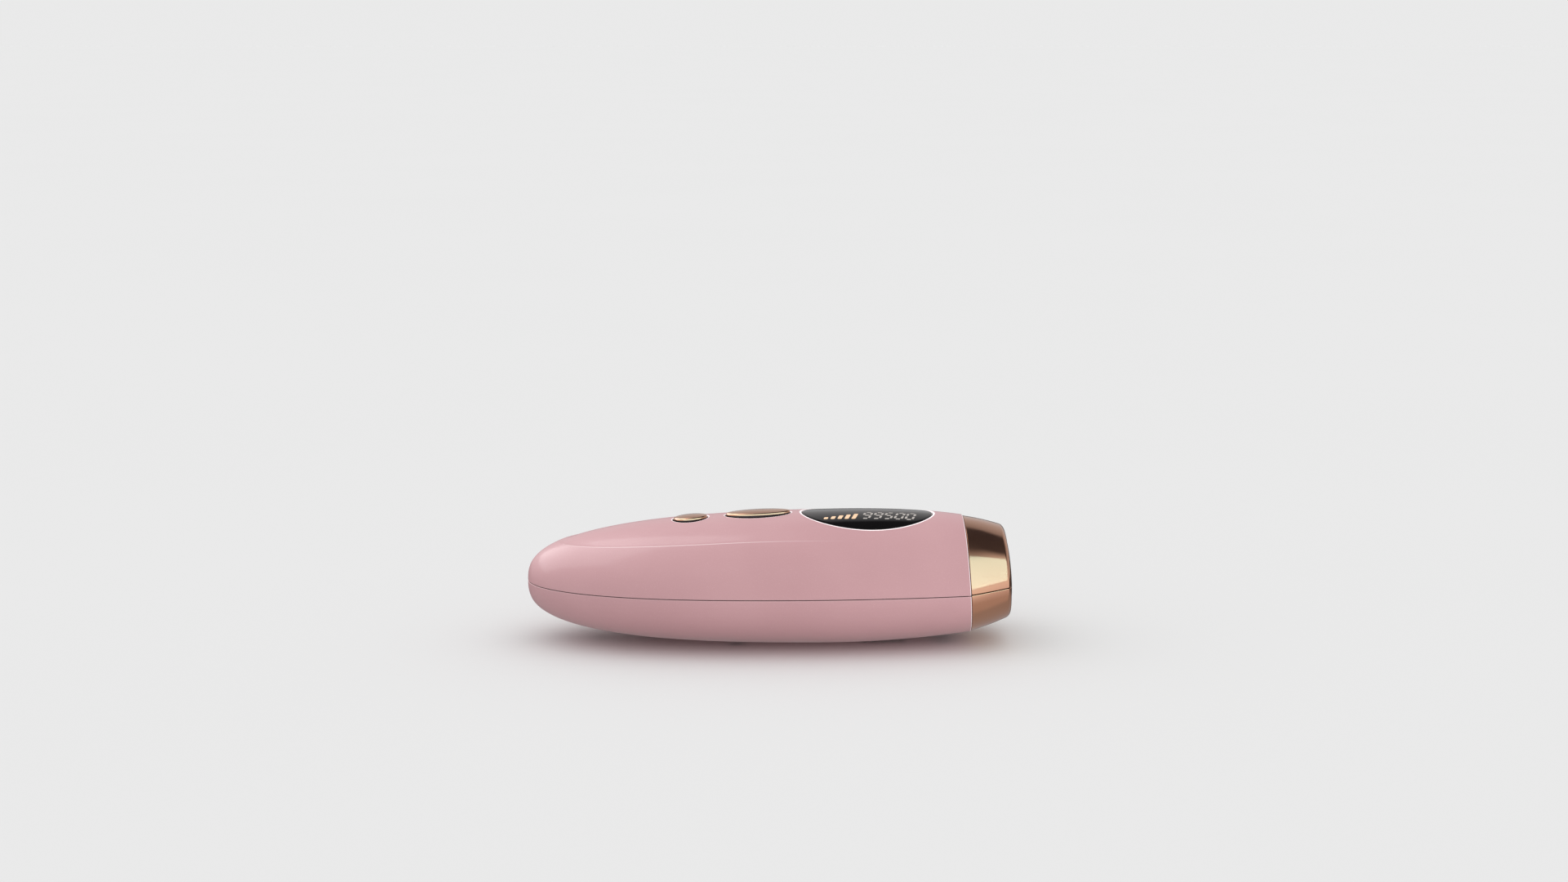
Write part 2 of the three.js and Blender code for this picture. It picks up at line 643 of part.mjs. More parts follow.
function addBulkhead(headMount) {
  const { back, front, screwY, screwUpZ, screwDownZ } = BULKHEAD;
  const places = [
    [screwY, screwUpZ],
    [-screwY, screwUpZ],
    [screwY, screwDownZ],
    [-screwY, screwDownZ],
  ];
  const holes = places.map((p) => rod('x', 1.4, back - 1, front + 1, p, 16));
  const contactHoles = [1, -1].map((side) =>
    rod('x', CONTACT.pinRadius + 0.4, back - 1, front + 1, [side * CONTACT.y, CONTACT.z], 16),
  );
  const airWindow = roundedSlab(22, 16, 3, back - 1, front + 1, 1.5);
  const plate = rimPlate(back, front).subtract(union(...holes, ...contactHoles, airWindow));
  piece(headMount, 'front_bulkhead', plate, BLACK_PLASTIC);
  const screw = screwSolid({ headRadius: 2.1, headHeight: 1.3, shankRadius: 1.05, length: 7 });
  places.forEach(([y, z], i) =>
    piece(headMount, `bulkhead_screw_${i + 1}`, screw, STEEL, { at: [front + 0.1, y, z] }),
  );
  for (const [name, side] of Object.entries({ contact_socket_left: 1, contact_socket_right: -1 })) {
    const bore = rod('x', CONTACT.pinRadius + 0.3, -4.5, 1, [0, 0], 16);
    const socket = box([-5.6, -3.2, -3.2], [-0.2, 3.2, 3.2]).subtract(bore);
    piece(headMount, name, socket, CERAMIC, { at: [back - 0.1, side * CONTACT.y, CONTACT.z] });
  }
}

// ---------------------------------------------------------------- lamp head

// Half sizes of the head's skin at a distance from the seam, set in by `inset`.
function headRing(x, inset) {
  const share = THREE.MathUtils.clamp(x / HEAD_LENGTH, 0, 1);
  const bulge = HEAD_BULGE * Math.sin(Math.PI * share);
  const size = (key) => HEAD_AT_SEAM[key] + (HEAD_AT_RIM[key] - HEAD_AT_SEAM[key]) * share + bulge - inset;
  return ring(x, size('halfWidth'), size('up'), size('down'), FACE_CENTRE_Z * share);
}

// The head's solid form with a rounded front edge. A positive inset makes its cavity, open at the back.
function headForm(inset) {
  const back = inset > 0 ? 0 : HEAD_GAP;
  const face = HEAD_LENGTH - inset;
  const fillet = Math.max(HEAD_FILLET - inset, 0.6);
  const straight = [0, 0.33, 0.67, 1].map((s) => headRing(back + (face - fillet - back) * s, inset));
  const turns = [1, 2, 3].map((i) => {
    const angle = (i / 3) * (Math.PI / 2);
    return headRing(face - fillet + fillet * Math.sin(angle), inset + fillet * (1 - Math.cos(angle)));
  });
  return loft([...straight, ...turns]);
}

// The half of the head above (side 1) or below (side -1) its sloping joint line.
function headHalf(side) {
  const gap = (side * PARTING_GAP) / 2;
  const geometry = new THREE.BoxGeometry(FAR, FAR, FAR).translate(0, 0, (side * FAR) / 2 + gap);
  return solid(geometry.rotateY(-HEAD_JOINT.slope).translate(0, 0, HEAD_JOINT.start));
}

function headCover(side) {
  const { halfWidth, halfHeight } = FACE_OPENING;
  const opening = ellipticColumn('x', [0, FACE_CENTRE_Z], halfWidth, halfHeight, 0, FAR);
  const bossZ = COVER_SCREWS_Z[side > 0 ? 0 : 1];
  const boss = rod('x', 2.4, 2.8, 9, [0, bossZ], 16).add(
    box([2.8, -0.8, Math.min(bossZ, bossZ + side * 8)], [9, 0.8, Math.max(bossZ, bossZ + side * 8)]),
  );
  const skin = headForm(0).subtract(headForm(HEAD_WALL));
  return union(skin, boss.intersect(headForm(0)))
    .intersect(headHalf(side))
    .subtract(opening)
    .subtract(rod('x', 1.2, 0, 8, [0, bossZ], 12));
}

// The black plate behind the covers: a spigot into the handset's mouth and a flange inside the covers.
function headBaseSolid() {
  const spigot = rimPlate(-3.2, 0.6, 0.4).subtract(rimPlate(-4, 5, 1.7));
  const flange = headForm(HEAD_WALL + 0.3).intersect(box([0.5, -FAR, -FAR], [2.5, FAR, FAR]));
  const airWindow = roundedSlab(28, 14, 3, -1, 4, FACE_CENTRE_Z);
  const pinHoles = [1, -1].map((side) =>
    rod('x', CONTACT.pinRadius + 0.1, -2, 5, [side * CONTACT.y, CONTACT.z], 16),
  );
  const screwHoles = COVER_SCREWS_Z.map((z) => rod('x', 1.25, -1, 5, [0, z], 16));
  return spigot.add(flange.subtract(airWindow)).subtract(union(...pinHoles, ...screwHoles));
}

function windowFrameSolid() {
  const oval = (extra, from, to) =>
    ellipticColumn(
      'x',
      [0, FACE_CENTRE_Z],
      FACE_OPENING.halfWidth + extra,
      FACE_OPENING.halfHeight + extra,
      from,
      to,
    );
  const nose = oval(-FRAME_CLEARANCE, 12, FRAME_FACE_X);
  const flange = oval(1.2, 10.4, 12.7);
  const { width, height, corner } = WINDOW;
  const opening = roundedSlab(width, height, corner, 5, 20, FACE_CENTRE_Z);
  const glassPocket = roundedSlab(width + 2, height + 2, corner, 5, 13.4, FACE_CENTRE_Z);
  const sensorSlots = [1, -1].map((side) => {
    const y = side * SENSOR_Y;
    return box([12.9, y - 0.9, FACE_CENTRE_Z - 3.5], [20, y + 0.9, FACE_CENTRE_Z + 3.5]);
  });
  return nose.add(flange).subtract(union(opening, glassPocket, ...sensorSlots));
}

// A bright trough around the lamp, open towards the window.
function reflectorSolid() {
  const wall = 0.7;
  const outer = new THREE.Shape()
    .moveTo(10, 6.4)
    .lineTo(6, 5.6)
    .absarc(6, 0, 5.6, Math.PI / 2, Math.PI * 1.5)
    .lineTo(10, -6.4)
    .lineTo(10, -6.4 + wall)
    .lineTo(6, -5.6 + wall)
    .absarc(6, 0, 5.6 - wall, Math.PI * 1.5, Math.PI / 2, true)
    .lineTo(10, 6.4 - wall);
  const geometry = extruded(outer, 26, 10);
  return solid(geometry.rotateX(Math.PI / 2).translate(0, 13, 0));
}

const LAMP_X = 6.4;
const LAMP_RADIUS = 1.9;

function electrodeSolid() {
  const along = turned([
    [10.5, 0],
    [10.8, 1],
    [16.9, 1],
    [16.9, 2.1],
    [19.8, 2.1],
    [20.3, 0.6],
    [22.4, 0.6],
    [22.4, 0],
  ], 16);
  return solid(geometryOf(along).rotateZ(Math.PI / 2));
}

function triggerWireSolid() {
  const turns = 5;
  const points = Array.from({ length: turns * 8 + 1 }, (_, i) => {
    const angle = (i / 8) * Math.PI * 2;
    return [2.4 * Math.cos(angle), -11.5 + (i / (turns * 8)) * 23, 2.4 * Math.sin(angle)];
  });
  return wire(points, 0.2, turns * 8, 4);
}

function addLamp(head) {
  const lamp = new THREE.Group();
  lamp.position.set(LAMP_X, 0, FACE_CENTRE_Z);
  head.add(lamp);
  const tube = rod('y', LAMP_RADIUS, -16.5, 16.5).subtract(rod('y', 1.4, -20, 20));
  piece(lamp, 'flash_lamp', tube, QUARTZ);
  piece(lamp, 'trigger_wire', triggerWireSolid(), STEEL);
  for (const [hand, side] of Object.entries({ left: 1, right: -1 })) {
    const turn = [0, 0, side > 0 ? 0 : Math.PI];
    piece(lamp, `lamp_electrode_${hand}`, electrodeSolid(), STEEL, { turn });
    const holder = box([-3.4, 14, -4.5], [3.4, 16.2, 4.5]).subtract(rod('y', LAMP_RADIUS + 0.3, 10, 20));
    piece(lamp, `lamp_holder_${hand}`, holder, CERAMIC, { turn });
  }
}

function addHead(head) {
  piece(head, 'head_upper_cover', headCover(1), ROSE_GOLD);
  piece(head, 'head_lower_cover', headCover(-1), ROSE_GOLD);
  piece(head, 'head_base', headBaseSolid(), BLACK_PLASTIC);
  piece(head, 'window_frame', windowFrameSolid(), BLACK_GLOSS);
  const { width, height, corner } = WINDOW;
  const glass = roundedSlab(width + 1.4, height + 1.4, corner - 0.3, 11, 13.1, FACE_CENTRE_Z);
  piece(head, 'filter_glass', glass, GLASS);
  piece(head, 'reflector', reflectorSolid(), ALUMINIUM, { at: [0.2, 0, FACE_CENTRE_Z] });
  for (const [hand, side] of Object.entries({ left: 1, right: -1 })) {
    const sensor = box([13.2, -0.6, -3.2], [FRAME_FACE_X - 0.05, 0.6, 3.2]);
    piece(head, `skin_sensor_${hand}`, sensor, STEEL, { at: [0, side * SENSOR_Y, FACE_CENTRE_Z] });
    const pin = rod('x', CONTACT.pinRadius, -10, 4.2, [side * CONTACT.y, CONTACT.z], 16);
    piece(head, `contact_pin_${hand}`, pin, STEEL);
  }
  COVER_SCREWS_Z.forEach((z, i) => {
    const screw = screwSolid({ headRadius: 1.7, headHeight: 1, shankRadius: 0.85, length: 6 });
    const at = [0.4, 0, z];
    piece(head, `head_screw_${i + 1}`, screw, STEEL, { at, turn: [0, Math.PI, 0] });
  });
  addLamp(head);
}

// ---------------------------------------------------------------- assembly

const handset = new THREE.Group();
piece(handset, 'upper_shell', buildUpperShell(), PINK);
piece(handset, 'lower_shell', buildLowerShell(), PINK);
addDisplay(handset);
addControlBoard(handset);
for (const [name, button] of Object.entries({ flash: FLASH_BUTTON, power: POWER_BUTTON })) {
  const at = [button.x, 0, aboveParting(CONTROL_BOARD_TOP)];
  piece(handset, `${name}_button`, buildButton(button), ROSE_GOLD);
  piece(handset, `${name}_switch`, buildSwitchBody(), BLACK_PLASTIC, { at });
  piece(handset, `${name}_plunger`, buildPlunger(), CERAMIC, { at });
}
addMainBoard(handset);
addCapacitors(handset);
addPowerInlet(handset);
addWires(handset);
addShellScrews(handset);
addFan(handset);

// The bulkhead stays with the handset; the head pulls off along the same tilted axis.
const headMount = new THREE.Group();
headMount.applyMatrix4(headFrame);
handset.add(headMount);
addBulkhead(headMount);
addHead(headMount);

export default handset;
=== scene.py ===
import json
import math

import bpy
import numpy as np
from mathutils import Matrix, Vector
from mathutils.geometry import delaunay_2d_cdt

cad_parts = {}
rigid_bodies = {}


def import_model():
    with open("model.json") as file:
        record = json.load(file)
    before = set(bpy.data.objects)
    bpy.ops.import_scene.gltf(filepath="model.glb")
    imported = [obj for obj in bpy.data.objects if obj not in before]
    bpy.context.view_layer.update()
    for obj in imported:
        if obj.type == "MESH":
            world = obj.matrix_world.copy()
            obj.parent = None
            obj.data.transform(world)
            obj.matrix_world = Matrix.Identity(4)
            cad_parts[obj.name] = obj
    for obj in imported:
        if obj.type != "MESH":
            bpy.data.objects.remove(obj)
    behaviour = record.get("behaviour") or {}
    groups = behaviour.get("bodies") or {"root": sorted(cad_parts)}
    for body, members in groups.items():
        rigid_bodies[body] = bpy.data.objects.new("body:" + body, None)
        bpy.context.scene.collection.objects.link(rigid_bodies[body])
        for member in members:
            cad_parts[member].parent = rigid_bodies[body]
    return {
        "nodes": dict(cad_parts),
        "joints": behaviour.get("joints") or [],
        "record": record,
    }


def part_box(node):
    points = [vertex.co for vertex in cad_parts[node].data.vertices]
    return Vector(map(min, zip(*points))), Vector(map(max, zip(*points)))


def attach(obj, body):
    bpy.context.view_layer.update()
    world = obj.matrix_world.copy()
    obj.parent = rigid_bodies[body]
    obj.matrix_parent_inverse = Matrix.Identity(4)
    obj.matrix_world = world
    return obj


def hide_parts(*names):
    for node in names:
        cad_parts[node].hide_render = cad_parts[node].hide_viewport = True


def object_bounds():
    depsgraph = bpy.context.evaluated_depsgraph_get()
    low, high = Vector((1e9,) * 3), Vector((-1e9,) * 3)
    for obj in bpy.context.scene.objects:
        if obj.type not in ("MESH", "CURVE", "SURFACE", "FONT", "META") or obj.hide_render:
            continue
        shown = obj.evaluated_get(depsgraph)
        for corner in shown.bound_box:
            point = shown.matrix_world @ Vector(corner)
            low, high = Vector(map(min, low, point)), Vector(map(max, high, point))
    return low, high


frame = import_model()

cad_low, cad_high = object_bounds()
MM = 0.001

# ---- sizes and places

upper_low, upper_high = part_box("upper_shell")
lens_low, lens_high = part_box("display_lens")
LENS_X = (lens_low.x + lens_high.x) / 2
LENS_HALF = (lens_high.x - LENS_X, lens_high.y)
PARTING_Z = (upper_low.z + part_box("lower_shell")[1].z) / 2
TAIL_X = cad_low.x
SEAM_X = upper_high.x
BODY_LENGTH = SEAM_X - TAIL_X
BELLY_CUT = 0.25 * MM  # the resting flat is cut this deep into the belly
HEAD_AXIS = Vector(next(j for j in frame["joints"] if j["name"] == "lamp_head_pull")["axis"])
TILT = math.atan2(HEAD_AXIS.z, HEAD_AXIS.x)

WALL = 2.2 * MM
PARTING_HALF_GAP = 0.13 * MM
EDGE = 0.22 * MM  # rolled edges along the joints between shells
OPENING_EDGE = 0.45 * MM  # softer edge round the display
# Flat lands before the edges of the openings, which get a painted highlight.
DISPLAY_LAND = 0.35 * MM  # bright lands before the edges of the openings
BUTTON_LAND = 0.1 * MM

# Half sizes along the pod against the distance from the tail: a swell to `full` at `peak`, shaped by two
# powers, then a fall to `seam` at the lamp head. Each form is (full, peak, swell, root, seam, fall).
LENS_PROUD = 0.25 * MM
WIDTH = (upper_high.y * 1.001, 87 * MM, 2.55, 2, 30 * MM, 2)
CROWN = (lens_high.z - LENS_PROUD - PARTING_Z, 120 * MM, 2.3, 2.7, 22.9 * MM, 2.9)
BELLY = (PARTING_Z + BELLY_CUT, 106.5 * MM, 2.65, 2.9, 18.4 * MM, 2)
# The top panel lies a hair below the sides inside this outline, which starts a little way from the tail.
PANEL = (24.5 * MM, 65 * MM, 2.4, 2, 22 * MM, 2)
PANEL_START = 11.5 * MM
PANEL_DEPTH = 0.42 * MM
PANEL_RISE = 1.3 * MM
PANEL_SOFTNESS = 0.1 * MM
PANEL_FADE = (62 * MM, 122 * MM)
# How strongly a highlight is painted on the edges of the pink shells, up to 1: how far their colour is
# blended towards near-white.
RIM_GLINT = 0.9
SEAM_GLINT = 0.9
PANEL_GLINT = 0.33
PLAIN_GLINT = 0.25
PARTING_GLINT = 0.1

STATIONS = 230
ACROSS = 160
TAIL_EASE = 0.3  # how closely the stations crowd at the tail
EDGE_COLUMNS = (0.26, 0.29)  # shares of the columns just before and after the panel's edge
EDGE_REACH = 0.003  # how far those two stay from the edge
EDGE_LIMIT = 0.42  # the columns leave the panel's edge where it turns across the tail

# The head, in its own frame: x from the seam, z from the parting line.
HEAD_GAP = 0.2 * MM
HEAD_LENGTH = 14.8 * MM
HEAD_WALL = 1.8 * MM
HEAD_FILLET = 1.6 * MM
HEAD_JOINT_RISE = 0.05
HEAD_JOINT_START = 0.2 * MM
FACE_CENTRE_Z = 2.7 * MM
FRAME_FACE_X = 15.3 * MM


def unit(v):
    return v / np.maximum(np.linalg.norm(v, axis=-1, keepdims=True), 1e-12)


def rows(*parts):
    """Points from their coordinates, each a column or one number."""
    return np.stack(np.broadcast_arrays(*parts), -1)


def circle(angles):
    return rows(np.cos(angles), np.sin(angles))


def quarter(steps):
    """The sine and cosine at even steps of a quarter turn."""
    return [(math.sin(a), math.cos(a)) for a in np.linspace(0, math.pi / 2, steps + 1)]


def following(loop):
    return np.roll(loop, -1, axis=0)


def travel(loop):
    """The way that a closed loop runs at each of its points."""
    return following(loop) - np.roll(loop, 1, axis=0)


def half_size(form, distance):
    full, peak, swell, root, seam, fall = form
    rise = np.clip(np.asarray(distance) / peak, 0, 1)
    past = np.maximum(distance - peak, 0) / (BODY_LENGTH - peak)
    return full * (1 - (1 - rise) ** swell) ** (1 / root) - (full - seam) * past**fall


def slope(form, distance, step=2e-6):
    ahead, behind = distance + step, np.maximum(distance - step, 1e-9)
    return (half_size(form, ahead) - half_size(form, behind)) / (ahead - behind)


# ---- closed meshes


class Solid:
    """One closed piece: its points, its faces, and the outward normal wanted at each face corner."""

    def __init__(self):
        self.points, self.faces, self.glints, self.total = [], [], [], 0

    def add(self, points):
        points = np.asarray(points, float).reshape(-1, 3)
        self.points.append(points)
        self.total += len(points)
        return np.arange(self.total - len(points), self.total)

    def at(self, indices):
        return np.concatenate(self.points)[indices]

    def face(self, indices, normals, glint=0.0):
        """Adds faces; the painted highlight on them, one value or one per face, says how far their colour is
        blended towards near-white.
        """
        self.faces.append((np.array(indices), np.array(normals, float)))
        self.glints.append(np.broadcast_to(glint, len(indices)))

    def bridge(self, a, b, normals_a, normals_b, glint=0.0):
        """Quads between two closed loops of the same count."""
        normals = np.stack([normals_a, following(normals_a), following(normals_b), normals_b], 1)
        self.face(rows(a, following(a), following(b), b), normals, glint)

    def strip(self, a, b, sign):
        """Quads between two loops with the flat normal of the band itself."""
        pa, pb = self.at(a), self.at(b)
        normals = unit(sign * np.cross(pb - pa, travel(pa + pb)))
        self.bridge(a, b, normals, normals)

    def fan(self, loop, centre, normals, centre_normal):
        """Triangles from a closed loop to one point."""
        tip = self.add(centre)[0]
        tip_normals = np.broadcast_to(centre_normal, (len(loop), 3))
        self.face(rows(loop, following(loop), tip), np.stack([normals, following(normals), tip_normals], 1))

    def round_off(self, border, back, normals, leave, glint=0.0, steps=4):
        """Carries a skin's border over a quarter round towards `leave`, then to the loop behind it."""
        points, ring, ring_normals = self.at(border), border, normals
        for sine, cosine in quarter(steps)[1:]:
            next_ring = self.add(points + EDGE * (sine * leave - (1 - cosine) * normals))
            next_normals = unit(cosine * normals + sine * leave)
            self.bridge(ring, next_ring, ring_normals, next_normals, glint)
            ring, ring_normals = next_ring, next_normals
        self.bridge(ring, back, unit(leave), unit(leave))

    def stack(self, rings, smooth):
        """A closed skin through matching loops, from the middle of its top to the middle of its base.

        `smooth` says for each loop whether the surface runs on smoothly across it.
        """
        loops = [self.add(ring) for ring in rings]
        top, base = rings[0].mean(0), rings[-1].mean(0)
        bands = [unit(np.cross(rings[0] - top, travel(rings[0])))]
        bands += [unit(np.cross(b - a, travel(a + b))) for a, b in zip(rings, rings[1:])]
        bands.append(unit(np.cross(base - rings[-1], travel(rings[-1]))))
        pairs = list(zip(bands, bands[1:], smooth))
        into = [unit(above + below) if runs_on else above for above, below, runs_on in pairs]
        out_of = [unit(above + below) if runs_on else below for above, below, runs_on in pairs]
        for k in range(len(rings) - 1):
            self.bridge(loops[k], loops[k + 1], out_of[k], into[k + 1])
        self.fan(loops[0], top, into[0], unit(bands[0].mean(0)))
        self.fan(loops[-1], base, out_of[-1], unit(bands[-1].mean(0)))
        return self

    def build(self, name):
        points = np.concatenate(self.points)
        used = np.zeros(len(points), bool)
        polygons, corners = [], []
        for indices, normals in self.faces:
            used[indices.ravel()] = True
        order = np.cumsum(used) - 1
        for indices, normals in self.faces:
            p = points[indices]
            area = np.cross(p[:, 1] - p[:, 0], p[:, 2] - p[:, 0])
            if indices.shape[1] == 4:
                area = area + np.cross(p[:, 2] - p[:, 0], p[:, 3] - p[:, 0])
            flip = (area * normals.mean(1)).sum(1) < 0
            indices[flip] = indices[flip, ::-1]
            normals[flip] = normals[flip, ::-1]
            polygons += order[indices].tolist()
            corners.append(unit(normals).reshape(-1, 3))
        mesh = bpy.data.meshes.new(name)
        mesh.from_pydata(points[used].tolist(), [], polygons)
        mesh.shade_smooth()
        mesh.normals_split_custom_set(np.concatenate(corners).tolist())
        glint = mesh.attributes.new("glint", "FLOAT", "FACE")
        glint.data.foreach_set("value", np.concatenate(self.glints))
        return shown(name, mesh)


def shown(name, data):
    made = bpy.data.objects.new(name, data)
    bpy.context.scene.collection.objects.link(made)
    return made


def centre_of(node):
    low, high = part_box(node)
    return (low + high) / 2


def dress(piece, body, slot, *nodes, look=None):
    """Puts a finished piece on its body, in place of the CAD nodes that it stands for."""
    piece.data.materials.append(look or LOOKS[slot])
    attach(piece, body)
    if nodes:
        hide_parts(*nodes)


# ---- outlines

# An outline is a function of an outward offset that gives its points, counter-clockwise. Its
# `outward` attribute holds the matching outward directions.


def outline_of(points, outward):
    def outline(offset=0.0):
        return points + outward * offset

    outline.outward = outward
    outline.centre = points.mean(0)
    return outline


def oval(centre, half_u, half_v, count, below=None):
    """An ellipse; `below` gives its lower half a height of its own."""
    ring = circle(np.linspace(0, 2 * math.pi, count, endpoint=False))
    halves = rows(half_u, np.where(ring[:, 1] > 0, half_v, half_v if below is None else below))
    return outline_of(np.array(centre) + ring * halves, unit(ring / halves))


def joined_arcs(centre, spots, radius, per_arc, per_side):
    """Equal arcs about the spots, joined by straight sides that carry their own points."""
    points, outward = [], []
    for k, spot in enumerate(spots):
        arc = circle((k + np.linspace(0, 1, per_arc)) * 2 * math.pi / len(spots))
        start = spot + arc[-1] * radius
        step = (spots[(k + 1) % len(spots)] - spot) / per_side
        points += [spot + arc * radius, start + step * np.arange(1, per_side)[:, None]]
        outward += [arc, np.tile(arc[-1], (per_side - 1, 1))]
    return outline_of(np.concatenate(points) + np.array(centre), np.concatenate(outward))


def rounded_box(centre, width, height, corner, per_corner, per_side):
    reach = np.array([width / 2 - corner, height / 2 - corner])
    spots = [reach * sign for sign in ((1, 1), (-1, 1), (-1, -1), (1, -1))]
    return joined_arcs(centre, spots, corner, per_corner, per_side)


def upright_slot(centre, width, height):
    """A slot along v with round ends."""
    reach = np.array([0, (height - width) / 2])
    return joined_arcs(centre, [reach, -reach], width / 2, 14, 20)


def inside(points, loop):
    """Which points lie inside a closed polygon."""
    x, y = points[:, 0, None], points[:, 1, None]
    a, b = loop, following(loop)
    crosses = (a[:, 1] > y) != (b[:, 1] > y)
    rise = np.where(b[:, 1] == a[:, 1], 1e-12, b[:, 1] - a[:, 1])
    at_x = a[:, 0] + (y - a[:, 1]) * (b[:, 0] - a[:, 0]) / rise
    return (crosses & (x < at_x)).sum(1) % 2 == 1


def nearest(points, loop):
    return np.sqrt(((points[:, None, :] - loop[None]) ** 2).sum(2)).min(1)


def fill(border, holes, between=()):
    """Triangles over a flat region between a border loop and hole loops, as rows of point numbers.

    Points are numbered border first, then each hole, then those between.
    """
    loops = [border, *holes]
    points = np.concatenate([*loops, np.reshape(between, (-1, 2))])
    edges, start = [], 0
    for loop in loops:
        count = len(loop)
        edges += [(start + k, start + (k + 1) % count) for k in range(count)]
        start += count
    result = delaunay_2d_cdt([Vector(p) for p in points], edges, [], 0, 1e-7)
    origin = [ids[0] for ids in result[3]]
    triangles = np.array([[origin[v] for v in face] for face in result[2]])
    centres = points[triangles].mean(1)
    keep = inside(centres, border)
    for hole in holes:
        keep &= ~inside(centres, hole)
    return triangles[keep]


class Rim:
    """A rounded edge of a sheet along an outline, which place(u, v, depth) carries into space.

    `hole` is 1 where the material is outside the outline and -1 where it is inside, `side` is 1 where
    the outline runs counter-clockwise seen from outside and -1 elsewhere, and `land` is the width of a
    flat land before the edge is rounded. The land and the rounded edge get a painted highlight, their
    colour blended towards near-white.
    """

    def __init__(self, outline, radius, place, outward, side=1, hole=1, land=0.0):
        self.outline, self.radius, self.place, self.outward = outline, radius, place, outward
        self.side, self.hole, self.land = side, hole, land

    def at(self, offset, depth=0.0):
        return self.place(*self.outline(offset).T, depth)

    def on_skin(self):
        """Where the edge starts on the pod: its cells of the skin's grid, its points and the normals."""
        points = self.at(self.radius + self.land)
        x, y, z = points.T
        return to_grid(x, y, self.side), points, skin_normal(x, y, z, self.side)

    def roll(self, solid, first, first_normals, stages, last, steps=5):
        """Carries a sheet's loop over the edge and through (offset, depth) stages to the loop behind."""
        # The rounded edge, and the land where there is one, get a painted highlight, brighter where there is
        # a land.
        glint = RIM_GLINT if self.land else PLAIN_GLINT
        ring, normals = first, first_normals
        for sine, cosine in quarter(steps)[0 if self.land else 1 :]:
            offset = self.hole * self.radius * (1 - sine)
            next_ring = solid.add(self.at(offset, self.radius * (1 - cosine)))
            next_normals = unit(cosine * first_normals - sine * self.hole * self.outward)
            solid.bridge(ring, next_ring, normals, next_normals, glint)
            ring, normals = next_ring, next_normals
        for next_ring in [solid.add(self.at(*stage)) for stage in stages] + [last]:
            solid.strip(ring, next_ring, -self.hole * self.side)
            ring = next_ring


# ---- the pod's skin


def form_of(side):
    return CROWN if side > 0 else BELLY


def panel_fade(x):
    """1 where the panel's edge is crisp, falling to 0 towards the display."""
    gone = np.clip((x - TAIL_X - PANEL_FADE[0]) / (PANEL_FADE[1] - PANEL_FADE[0]), 0, 1)
    return 1 - gone * gone * (3 - 2 * gone)


def panel_inward(distance, y):
    """How far inside the panel's outline a point lies: from its nearer tangent at the same x or y."""
    full, peak, swell, root = PANEL[:4]
    ahead = np.maximum(distance, 1e-6)
    beside = (half_size(PANEL, ahead) - np.abs(y)) / np.sqrt(1 + slope(PANEL, ahead) ** 2)
    rise = np.minimum(np.abs(y) / full, 0.98)
    level = peak * (1 - (1 - rise**root) ** (1 / swell))
    lean = slope(PANEL, np.maximum(level, 1e-5))
    behind = (distance - level) * lean / np.sqrt(1 + lean**2)
    return np.where(distance > 0, np.minimum(beside, behind), behind)


def panel_dip(x, y):
    """How far the top panel lies below the swept form."""
    inward = panel_inward(x - TAIL_X - PANEL_START, y)
    soft = PANEL_SOFTNESS * np.logaddexp(0, inward / PANEL_SOFTNESS)
    return PANEL_DEPTH * panel_fade(x) * (1 - np.exp(-soft / PANEL_RISE))


def skin_height(x, y, side):
    """Height of the skin above or below (x, y)."""
    w, h = half_size(WIDTH, x - TAIL_X), half_size(form_of(side), x - TAIL_X)
    z = PARTING_Z + side * h * np.sqrt(np.clip(1 - (y / w) ** 2, 0, 1))
    return z - panel_dip(x, y) if side > 0 else np.maximum(z, 0.0)


def skin_normal(x, y, z, side):
    distance = x - TAIL_X
    form = form_of(side)
    w, h = half_size(WIDTH, distance), half_size(form, distance)
    if side > 0:
        step = 5e-6
        dip_x = (panel_dip(x + step, y) - panel_dip(x - step, y)) / (2 * step)
        dip_y = (panel_dip(x, y + step) - panel_dip(x, y - step)) / (2 * step)
        rise = z + panel_dip(x, y) - PARTING_Z
    else:
        dip_x = dip_y = np.zeros_like(x)
        rise = z - PARTING_Z
    gx = -(y**2) / w**3 * slope(WIDTH, distance) - rise**2 / h**3 * slope(form, distance)
    gy, gz = y / w**2, rise / h**2
    normals = unit(rows(gx + gz * dip_x, gy + gz * dip_y, gz))
    if side < 0:
        normals[z <= 1e-9] = (0, 0, -1)
    return normals


def station_share(s):
    return (1 + TAIL_EASE) * s * s / (s + TAIL_EASE)


def share_station(share):
    k = 1 + TAIL_EASE
    return (share + np.sqrt(share**2 + 4 * k * share * TAIL_EASE)) / (2 * k)


def lift_angle(x, side):
    """Section angle at which the rolled edge along the parting line starts."""
    return np.arcsin(np.clip((PARTING_HALF_GAP + EDGE) / half_size(form_of(side), x - TAIL_X), 0, 1))


def section_angle(share, x, side):
    start = lift_angle(x, side)
    return start + share * (math.pi - 2 * start)


def section_share(y, x, side):
    """How far across the section at x a point of the skin lies, from 0 to 1."""
    start = lift_angle(x, side)
    angle = np.arccos(np.clip(-y / half_size(WIDTH, x - TAIL_X), -1, 1))
    return (angle - start) / (math.pi - 2 * start)


def panel_share(x):
    """Share across the section at which the panel's edge lies."""
    edge = half_size(PANEL, np.maximum(x - TAIL_X - PANEL_START, 0))
    return np.clip(section_share(-edge, x, 1), EDGE_REACH, EDGE_LIMIT)


def column_knots(x, side):
    """Matching column shares and section shares, each a list of four, up to the middle of the crown."""
    if side < 0:
        return [0, 0.1, 0.2, 0.5], [0, 0.1, 0.2, 0.5]
    middle = panel_share(x)
    return [0, *EDGE_COLUMNS, 0.5], [0, middle - EDGE_REACH, middle + EDGE_REACH, 0.5]


